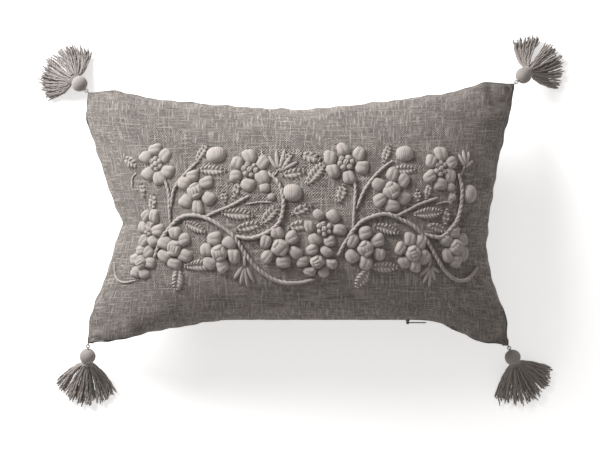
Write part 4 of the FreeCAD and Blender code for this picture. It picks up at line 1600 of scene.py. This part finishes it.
class Embroidery:
    """One repeat of the raised embroidery."""

    def __init__(self, side: str, shift: float, size: StitchSize, surface: ClothSurface,
                 trees: GeometryTrees) -> None:
        """Keep what the stitching needs.

        Args:
            side: left or right.
            shift: how far along the cloth this repeat is, in millimetres.
            size: sizes of the stitching.
            surface: the stuffed front panel.
            trees: the geometry trees.
        """
        self.side = side
        self.shift = shift
        self.size = size
        self.surface = surface
        self.trees = trees
        self.motif = MOTIFS[side]
        self.chance = np.random.default_rng(STITCH_SEEDS[side])

    def keep(self, what: str, parts: Sequence[bpy.types.Object]) -> bpy.types.Object:
        """Join the parts of one stitch group and put it in the frame.

        Args:
            what: what the group is made of.
            parts: its objects.

        Returns:
            The stitched piece.
        """
        made = join(f"stitched_{what}_{self.side}", parts)
        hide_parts(f"embroidery_{what}_{self.side}")
        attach(made, "pillow")
        log.info("%s: %d faces", made.name, len(made.data.polygons))
        return made

    def rows(self, row: PadRow, what: str, seed: int) -> bpy.types.Object:
        """Lay one row of pads.

        Args:
            row: the pads and their places.
            what: what they are.
            seed: seed of their small differences.

        Returns:
            One object with the pads.
        """
        return row.build(f"{what}_{self.side}", self.surface, self.trees, seed, STITCHED)

    def petals(self) -> bpy.types.Object:
        """Stitch the petals of every flower.

        Returns:
            The stitched piece.
        """
        s = self.size
        row = PadRow(s.petal)
        for flower in FLOWERS:
            for turn in flower.turn + np.arange(s.petals) * 360 / s.petals:
                turn += self.chance.uniform(-s.petal_sway, s.petal_sway)
                reach = flower.ring + self.chance.uniform(-s.petal_shift, s.petal_shift)
                x = flower.x + reach * math.cos(math.radians(turn))
                y = flower.y + reach * math.sin(math.radians(turn))
                wide = flower.scale * self.chance.uniform(0.9, 1.1)
                turn += self.chance.choice(QUARTERS)
                turn += self.chance.uniform(-s.petal_lay, s.petal_lay)
                row.add(x + self.shift, y, turn,
                        (flower.scale * self.chance.uniform(0.92, 1.06), wide),
                        height=self.chance.uniform(*s.uneven_height))
        return self.keep("petals", [self.rows(row, "petal", 3)])

    def centres(self) -> bpy.types.Object:
        """Stitch the middles of the flowers.

        Returns:
            The stitched piece.
        """
        s = self.size
        knots, curls = PadRow(s.knot), PadRow(s.curl)
        for flower in FLOWERS:
            x = flower.x + self.shift
            if flower.centre is Centre.KNOT:
                count, reach, row, middle = s.knots, s.knot_reach, knots, s.knot_middle
            else:
                count, reach, row, middle = s.curls, s.curl_reach, curls, s.curl_middle
            start = self.chance.uniform(0, 360)
            for k in range(count):
                turn = start + 360 * k / count + self.chance.uniform(-s.fold_sway, s.fold_sway)
                away = reach * flower.scale
                row.add(x + away * math.cos(math.radians(turn)),
                        flower.y + away * math.sin(math.radians(turn)), turn + 90,
                        (flower.scale * self.chance.uniform(0.95, 1.15),
                         flower.scale * self.chance.uniform(0.95, 1.2)))
            row.add(x, flower.y, start, (middle, middle), height=1.1)
        return self.keep("centres", [self.rows(knots, "knot", 5), self.rows(curls, "curl", 6)])

    def buds(self) -> bpy.types.Object:
        """Stitch the round buds.

        Returns:
            The stitched piece.
        """
        row = PadRow(self.size.bud)
        half = self.size.bud.half_length
        for x, y, length, width, turn in self.motif.buds:
            mean = (length + width) / 4 / half
            row.add(x + self.shift, y, turn + 90, (width / 2 / half, length / 2 / half),
                    height=mean * 0.75 + 0.2)
        return self.keep("buds", [self.rows(row, "bud", 7)])

    def leaves(self) -> bpy.types.Object:
        """Stitch the leaves: two rows of slanting stitches each, pointed at both ends.

        Returns:
            The stitched piece.
        """
        s = self.size
        row, blades = PadRow(s.rib), PadRow(s.blade)
        for x, y, length, width, turn in self.motif.leaves:
            width *= s.leaf_width
            blades.add(x + self.shift, y, turn, (length / 2 / s.blade.half_length,
                                                 width / 2 / s.blade.half_width))
            ahead = np.array([math.cos(math.radians(turn)), math.sin(math.radians(turn))])
            across = np.array([-ahead[1], ahead[0]])
            for share in np.linspace(-0.9, 0.9, max(4, int(length / s.rib_pitch))):
                half = width / 2 * (1 - abs(share) ** s.leaf_round[0]) ** s.leaf_round[1]
                half += s.rib_end
                for side in (1, -1):
                    middle = (np.array([x, y]) + ahead * (share * length / 2 + s.rib_ahead)
                              + across * side * half * s.rib_rows[0])
                    row.add(middle[0] + self.shift, middle[1], turn + side * s.rib_slant,
                            (half * s.rib_rows[1] / s.rib.half_length, 1.0),
                            height=self.chance.uniform(*s.uneven_height))
        return self.keep("leaves", [self.rows(row, "rib", 9), self.rows(blades, "blade", 10)])

    def cord(self, ropes: Ropes, line: Line, radius: float, taper: float) -> None:
        """Lay one twisted cord on the cloth.

        Args:
            ropes: where it is collected.
            line: its way over the flat cloth.
            radius: its radius, in millimetres.
            taper: thickness of its ends, as a share.
        """
        s = self.size
        flat = smooth_line(line, s.step)
        share = np.linspace(0, 1, len(flat))
        place, normal, _ = self.surface.at(flat[:, 0] + self.shift, flat[:, 1])
        end = np.clip(np.minimum(share, 1 - share) * s.end_rate, 0, 1)
        lump = s.cord_lump * waves(share * 100, (7, 11), len(ropes.points))
        thick = taper + (1 - taper) * end + lump
        lift = (radius * thick - s.sink)[:, None] * MM
        ropes.add(place + normal * lift, thick * radius / s.vine_radius)

    def stems(self) -> bpy.types.Object:
        """Stitch the vines and twigs as twisted cords.

        Returns:
            The stitched piece.
        """
        s = self.size
        ropes = Ropes()
        for line in self.motif.vines:
            self.cord(ropes, line, s.vine_radius, 0.75)
        for index, line in enumerate(self.motif.twigs):
            self.cord(ropes, line, s.twig_radius if index < 3 else s.fine_radius, 0.7)
        made = ropes.build(f"cords_{self.side}", self.trees, s.vine_radius * MM, s.lay * MM,
                           s.cord_sides, CORDED)
        return self.keep("stems", [made])

    def sprigs(self) -> bpy.types.Object:
        """Stitch the sprigs of pointed prongs.

        Returns:
            The stitched piece.
        """
        row = PadRow(self.size.prong)
        for (x0, y0), (x1, y1) in self.motif.prongs:
            length = math.hypot(x1 - x0, y1 - y0)
            row.add((x0 + x1) / 2 + self.shift, (y0 + y1) / 2,
                    math.degrees(math.atan2(y1 - y0, x1 - x0)),
                    (length / 2 / self.size.prong.half_length, 1.0))
        return self.keep("sprigs", [self.rows(row, "prong", 13)])

    def build(self) -> None:
        """Stitch the whole repeat."""
        self.petals()
        self.centres()
        self.buds()
        self.leaves()
        self.stems()
        self.sprigs()


# ---- tassels -----------------------------------------------------------------------------------
@dataclass(frozen=True)
class YarnShape:
    """How one crimped yarn lies, in millimetres and degrees."""

    points: int = 30
    root_fill: float = 0.9                     # share of the neck's round that the roots fill
    root_ahead: float = 0.5
    curl: float = 22.0                         # most that a tip turns
    crimp: float = 9.0
    crimp_waves: Triple = (9.0, 14.0, 6.0)
    bell_power: float = 0.7
    pile_fall: float = 0.45                    # share of the pile's height lost at the tips
    landed: float = 0.75                       # share of its length where it lies down
    fall_power: float = 1.5
    ripple: float = 0.5
    ripple_waves: Pair = (8.0, 14.0)
    lowest: float = 0.9                        # height of its middle, as a share of its radius
    root_thickness: float = 0.62
    root_rate: float = 5.0                     # how quickly it swells past the root
    tip_rate: float = 8.0
    tip_loss: float = 0.45
    thickness: Pair = (0.8, 1.15)


@dataclass(frozen=True)
class TasselSize:
    """Shape of one tassel, in millimetres and degrees."""

    azimuth: float
    fan: Pair                      # widest yarns, below and above the azimuth
    length: Pair
    gap: Pair | None = None        # a gap in the fan
    stray: tuple[Pair, ...] = ()   # turn and length of yarns that stand away
    yarns: int = 120
    yarn_radius: float = 1.15
    lay: float = 7.0
    bell: Pair = (1.5, 0.72)       # share of a yarn's turn at the ball and at its tip
    head: float = 9.3
    head_threads: int = 44
    head_rings: int = 36
    head_sway: float = 0.10        # radians
    head_ridge: float = 0.32
    head_lump: float = 0.12
    head_recess: float = 0.3       # depth of the grooves below the ball's radius
    neck: float = 6.0
    neck_turns: int = 5
    binding_half: float = 2.2      # half the wrapped length
    binding_radius: float = 0.55
    binding_lay: float = 4.0
    core_step: float = 1.5
    locks: int = 14
    lock_pull: float = 0.35        # how far a yarn turns to its nearest lock
    lock_sway: float = 2.5
    uneven_length: Pair = (0.9, 1.04)
    yarn: YarnShape = YarnShape()
    root: float = 6.2
    floor: float = 1.0
    pile: float = 9.0


GOLDEN_SHARE = 0.618
TASSEL_SEED = 7
TASSELS = {
    "tl": TasselSize(135.0, (-60.0, 77.0), (34.0, 42.0), (-2.0, 6.0), ((40.0, 45.0),)),
    "tr": TasselSize(42.0, (-66.0, 62.0), (35.0, 43.0)),
    "bl": TasselSize(-94.0, (-46.0, 42.0), (43.0, 49.0), None, ((-3.0, 54.0),)),
    "br": TasselSize(-68.0, (-44.0, 52.0), (42.0, 49.0), None, ((-40.0, 53.0),)),
}


class Tassel:
    """A yarn tassel: a ball of wound thread, a bound neck and a fan of crimped yarns."""

    def __init__(self, corner: str, size: TasselSize, trees: GeometryTrees) -> None:
        """Find where the tassel hangs.

        Args:
            corner: the corner's short name.
            size: the tassel's shape.
            trees: the geometry trees.
        """
        self.corner = corner
        self.size = size
        self.trees = trees
        self.chance = np.random.default_rng(TASSEL_SEED + CORNERS.index(corner))
        low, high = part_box(f"tassel_head_{corner}")
        self.ball = np.array((low + high) / 2)
        low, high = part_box(f"tassel_neck_{corner}")
        ahead = np.array((low + high) / 2) - self.ball
        self.reach = np.linalg.norm(ahead)
        self.ahead = ahead / self.reach
        self.across = np.cross((0.0, 0.0, 1.0), self.ahead)
        self.across /= np.linalg.norm(self.across)
        self.up = np.cross(self.ahead, self.across)

    def keep(self, item: bpy.types.Object, node: str, slot: str) -> bpy.types.Object:
        """Put a piece in the frame.

        Args:
            item: the piece.
            node: start of its frame node's name.
            slot: not used.

        Returns:
            The same piece.
        """
        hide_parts(f"{node}_{self.corner}")
        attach(item, f"tassel_{self.corner}")
        log.info("%s: %d faces", item.name, len(item.data.polygons))
        return item

    def head(self) -> bpy.types.Object:
        """Build the ball, with threads laid from pole to pole.

        Returns:
            The ball.
        """
        s = self.size
        sides = s.head_threads * 4
        turn = np.linspace(0, 2 * math.pi, sides, endpoint=False)
        tilt = np.linspace(0, math.pi, s.head_rings + 1)[1:-1]
        sway = s.head_sway * np.sin(2 * tilt)[:, None]
        ridge = s.head_ridge * np.abs(np.sin((turn[None] + sway) * s.head_threads / 2))
        lump = s.head_lump * np.sin(5 * turn + 1.0)[None] * np.sin(tilt)[:, None]
        core = s.head - s.head_recess
        radius = (core + ridge * np.sin(tilt)[:, None] + lump) * MM
        flat = radius * np.sin(tilt)[:, None]
        rise = radius * np.cos(tilt)[:, None]
        points = (self.ball + flat[..., None] * (np.cos(turn)[None, :, None] * self.across
                                                 + np.sin(turn)[None, :, None] * self.up)
                  + rise[..., None] * self.ahead).reshape(-1, 3)
        poles = self.ball + np.outer((1, -1), self.ahead) * core * MM
        count = len(points)
        ids = np.arange(count).reshape(len(tilt), sides)
        after = np.roll(ids, -1, axis=1)
        faces = np.stack([ids[:-1], ids[1:], after[1:], after[:-1]], axis=-1).reshape(-1, 4)
        caps = [(count, a, b) for a, b in zip(ids[0], after[0])]
        caps += [(count + 1, b, a) for a, b in zip(ids[-1], after[-1])]
        made = new_object(f"tassel_ball_{self.corner}", np.concatenate([points, poles]),
                          [*faces, *caps])
        smooth(made)
        dress(made, TASSEL_THREAD)
        return self.keep(made, "tassel_head", "tassel_thread")

    def neck(self) -> bpy.types.Object:
        """Wind the neck's thread round the yarns.

        Returns:
            The binding.
        """
        s = self.size
        turn = np.linspace(0, 2 * math.pi * s.neck_turns, 40 * s.neck_turns)
        half = s.binding_half * MM
        away = (self.reach - half + 2 * half * turn / turn[-1])[:, None]
        coil = (self.ball + away * self.ahead + s.neck * MM
                * (np.cos(turn)[:, None] * self.across + np.sin(turn)[:, None] * self.up))
        ropes = Ropes()
        ropes.add(coil, np.ones(len(coil)))
        core = [self.ball + self.ahead * (self.reach + k * s.core_step * MM)
                for k in range(-3, 4)]
        ropes.add(np.array(core), np.full(len(core), s.neck / s.binding_radius))
        made = ropes.build(f"tassel_binding_{self.corner}", self.trees, s.binding_radius * MM,
                           s.binding_lay * MM, 8, TASSEL_THREAD)
        return self.keep(made, "tassel_neck", "tassel_thread")

    def yarn(self, ropes: Ropes, turn: float, length: float, layer: float) -> None:
        """Add one crimped yarn that falls to the floor and runs out over it.

        Args:
            ropes: where it is collected.
            turn: its direction from the azimuth, in degrees.
            length: its length beyond the neck, in millimetres.
            layer: 0 for the lowest yarns, 1 for the highest.
        """
        s, y, chance = self.size, self.size.yarn, self.chance
        share = np.linspace(0, 1, y.points)
        side = math.sin(math.radians(turn)) * s.root
        height = (layer - 0.5) * 2 * math.sqrt(max(0.0, s.root ** 2 - side ** 2)) * y.root_fill
        start = self.ball + self.ahead * (self.reach + y.root_ahead * MM)
        start = start + (self.across * side + self.up * height) * MM
        curl = chance.uniform(-y.curl, y.curl) * share ** 2
        crimp = y.crimp * waves(share * length, y.crimp_waves, int(chance.integers(1e6)))
        bell = s.bell[0] + (s.bell[1] - s.bell[0]) * share ** y.bell_power
        heading = np.radians(s.azimuth + turn * bell + curl + crimp)
        step = length * MM / (y.points - 1)
        flat = np.stack([np.cos(heading), np.sin(heading)], axis=1) * step
        plan = np.concatenate([np.zeros((1, 2)), np.cumsum(flat[:-1], axis=0)])
        rest = (s.floor + s.yarn_radius + layer * s.pile * (1 - y.pile_fall * share)) * MM
        fall = np.clip(share / y.landed, 0, 1)
        level = rest + (start[2] - rest) * (1 - fall) ** y.fall_power
        ripple = waves(share * length, y.ripple_waves, int(chance.integers(1e6)))
        level += y.ripple * MM * ripple * fall
        level = np.maximum(level, s.yarn_radius * y.lowest * MM)
        points = np.column_stack([start[:2] + plan, level])
        thick = y.root_thickness + (1 - y.root_thickness) * np.clip(share * y.root_rate, 0, 1)
        tip = np.clip(share * y.tip_rate - (y.tip_rate - 1), 0, 1)
        thick = thick * (1 - y.tip_loss * tip) * chance.uniform(*y.thickness)
        ropes.add(points, thick, chance.uniform(0, 2 * math.pi))

    def skirt(self) -> bpy.types.Object:
        """Fan the yarns out.

        Returns:
            The yarns.
        """
        s = self.size
        ropes = Ropes()
        locks = self.chance.uniform(s.fan[0], s.fan[1], s.locks)
        for index in range(s.yarns):
            turn = s.fan[0] + (s.fan[1] - s.fan[0]) * ((index * GOLDEN_SHARE) % 1.0)
            near = locks[np.argmin(np.abs(locks - turn))]
            turn += s.lock_pull * (near - turn) + self.chance.uniform(-s.lock_sway, s.lock_sway)
            if s.gap and s.gap[0] < turn < s.gap[1]:
                turn += s.gap[1] - s.gap[0]
            edge = abs(2 * (turn - s.fan[0]) / (s.fan[1] - s.fan[0]) - 1)
            length = s.length[1] - (s.length[1] - s.length[0]) * edge ** 2
            length *= self.chance.uniform(*s.uneven_length)
            self.yarn(ropes, turn, length, (index / s.yarns) * (1 - 0.5 * edge ** 2))
        for turn, length in s.stray:
            self.yarn(ropes, turn, length, 0.3)
        made = ropes.build(f"tassel_yarns_{self.corner}", self.trees, s.yarn_radius * MM,
                           s.lay * MM, 6, TASSEL_YARN)
        return self.keep(made, "tassel_skirt", "tassel_yarn")

    def build(self) -> None:
        """Build the whole tassel; its loop keeps its own shape."""
        self.head()
        self.neck()
        self.skirt()


# ---- zip and small thread work -----------------------------------------------------------------
@dataclass(frozen=True)
class CoilSize:
    """Sizes of the zip's coils, in millimetres."""

    pitch: float = 1.3
    thread: float = 0.32
    steps: int = 12                            # points in each turn
    sides: int = 5


class ZipCoil:
    """Moulded coil teeth in place of each plain coil bar."""

    def __init__(self, side: str, size: CoilSize, trees: GeometryTrees) -> None:
        """Keep which half of the zip this is, and its sizes."""
        self.side = side
        self.size = size
        self.trees = trees

    def build(self) -> bpy.types.Object:
        """Wind the coil along its bar.

        Returns:
            The coil.
        """
        low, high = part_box(f"zipper_coil_{self.side}")
        pitch, thread = self.size.pitch * MM, self.size.thread * MM
        middle = np.array((low + high) / 2)
        half = np.array((high - low) / 2)
        run = 2 * half[0] - 2 * thread
        turn = np.linspace(0, 2 * math.pi * run / pitch, int(run / pitch) * self.size.steps)
        points = np.column_stack([
            low.x + thread + turn / turn[-1] * run,
            middle[1] + (half[1] - thread) * np.cos(turn),
            middle[2] + (half[2] - thread) * np.sin(turn)])
        ropes = Ropes()
        ropes.add(points, np.ones(len(points)))
        made = ropes.build(f"zip_teeth_{self.side}", self.trees, thread, 1.0, self.size.sides,
                           ZIP_COIL)
        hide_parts(f"zipper_coil_{self.side}")
        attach(made, "pillow")
        return made


KEPT_NODES = {
    "zipper_tape_front": ZIP_TAPE, "zipper_tape_back": ZIP_TAPE, "zipper_bottom_stop": ZIP_METAL,
    "zipper_top_stop": ZIP_METAL, "zipper_slider": ZIP_METAL, "zipper_pull": ZIP_METAL,
    **{f"{kind}_{corner}": STITCHING_THREAD for corner in CORNERS
       for kind in ("corner_staple", "tassel_ring", "tassel_loop")},
}


def dress_frame() -> None:
    """Give the frame's own visible pieces their finishes."""
    for name, finish in KEPT_NODES.items():
        dress(bpy.data.objects[name], finish)


# ---- stage -------------------------------------------------------------------------------------
@dataclass(frozen=True)
class Studio:
    """Camera, light and floor, in metres and watts."""

    camera: tuple[float, float, float] = (0.0, -0.0226, 2.2)
    lens: float = 112.2
    key: tuple[float, float, float] = (-1.25, 1.2, 0.88)
    key_power: float = 56.0
    key_size: float = 0.8
    fill: float = 0.37
    fill_colour: Colour = (1.0, 0.972, 0.945)
    floor_half: float = 8.0
    floor_colour: Colour = (0.92, 0.92, 0.92)
    floor_glow: float = 0.50

    def build(self) -> None:
        """Set the stage."""
        scene = bpy.context.scene
        data = bpy.data.cameras.new("camera")
        data.lens = self.lens
        camera = bpy.data.objects.new("camera", data)
        camera.location = self.camera
        scene.collection.objects.link(camera)
        scene.camera = camera
        lamp = bpy.data.lights.new("key", "AREA")
        lamp.energy = self.key_power
        lamp.size = self.key_size
        key = bpy.data.objects.new("key", lamp)
        key.location = self.key
        key.rotation_euler = (-Vector(self.key)).to_track_quat("-Z", "Y").to_euler()
        scene.collection.objects.link(key)
        world = bpy.data.worlds.new("studio")
        world.use_nodes = True
        world.node_tree.nodes["Background"].inputs["Color"].default_value = (*self.fill_colour, 1.0)
        world.node_tree.nodes["Background"].inputs["Strength"].default_value = self.fill
        scene.world = world
        scene.view_settings.view_transform = "Standard"
        floor = flat_square("floor", self.floor_half)
        paper = bpy.data.materials.new("floor_paper")
        paper.use_nodes = True
        surface = paper.node_tree.nodes["Principled BSDF"]
        surface.inputs["Base Color"].default_value = (*self.floor_colour, 1.0)
        surface.inputs["Emission Color"].default_value = (1.0, 1.0, 1.0, 1.0)
        surface.inputs["Emission Strength"].default_value = self.floor_glow
        surface.inputs["Roughness"].default_value = 0.9
        floor.data.materials.append(paper)


def main() -> None:
    """Build the pillow piece by piece."""
    logging.basicConfig(level=logging.INFO, format="%(name)s: %(message)s")
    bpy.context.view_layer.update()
    trees = GeometryTrees()
    cover = Cover(CoverSize(), Stuffing())
    for piece in (cover.panel("cover_front", "front_panel", 1),
                  cover.panel("cover_back", "back_panel", -1), *Insert(cover, InsertSize()).build()):
        log.info("%s: %d faces", piece.name, len(piece.data.polygons))
    surface = ClothSurface(cover)
    for side, shift in (("left", 0.0), ("right", REPEAT_PITCH)):
        Embroidery(side, shift, StitchSize(), surface, trees).build()
    for corner, size in TASSELS.items():
        Tassel(corner, size, trees).build()
    for side in ("front", "back"):
        ZipCoil(side, CoilSize(), trees).build()
    dress_frame()
    Studio().build()


if __name__ == "__main__":
    main()
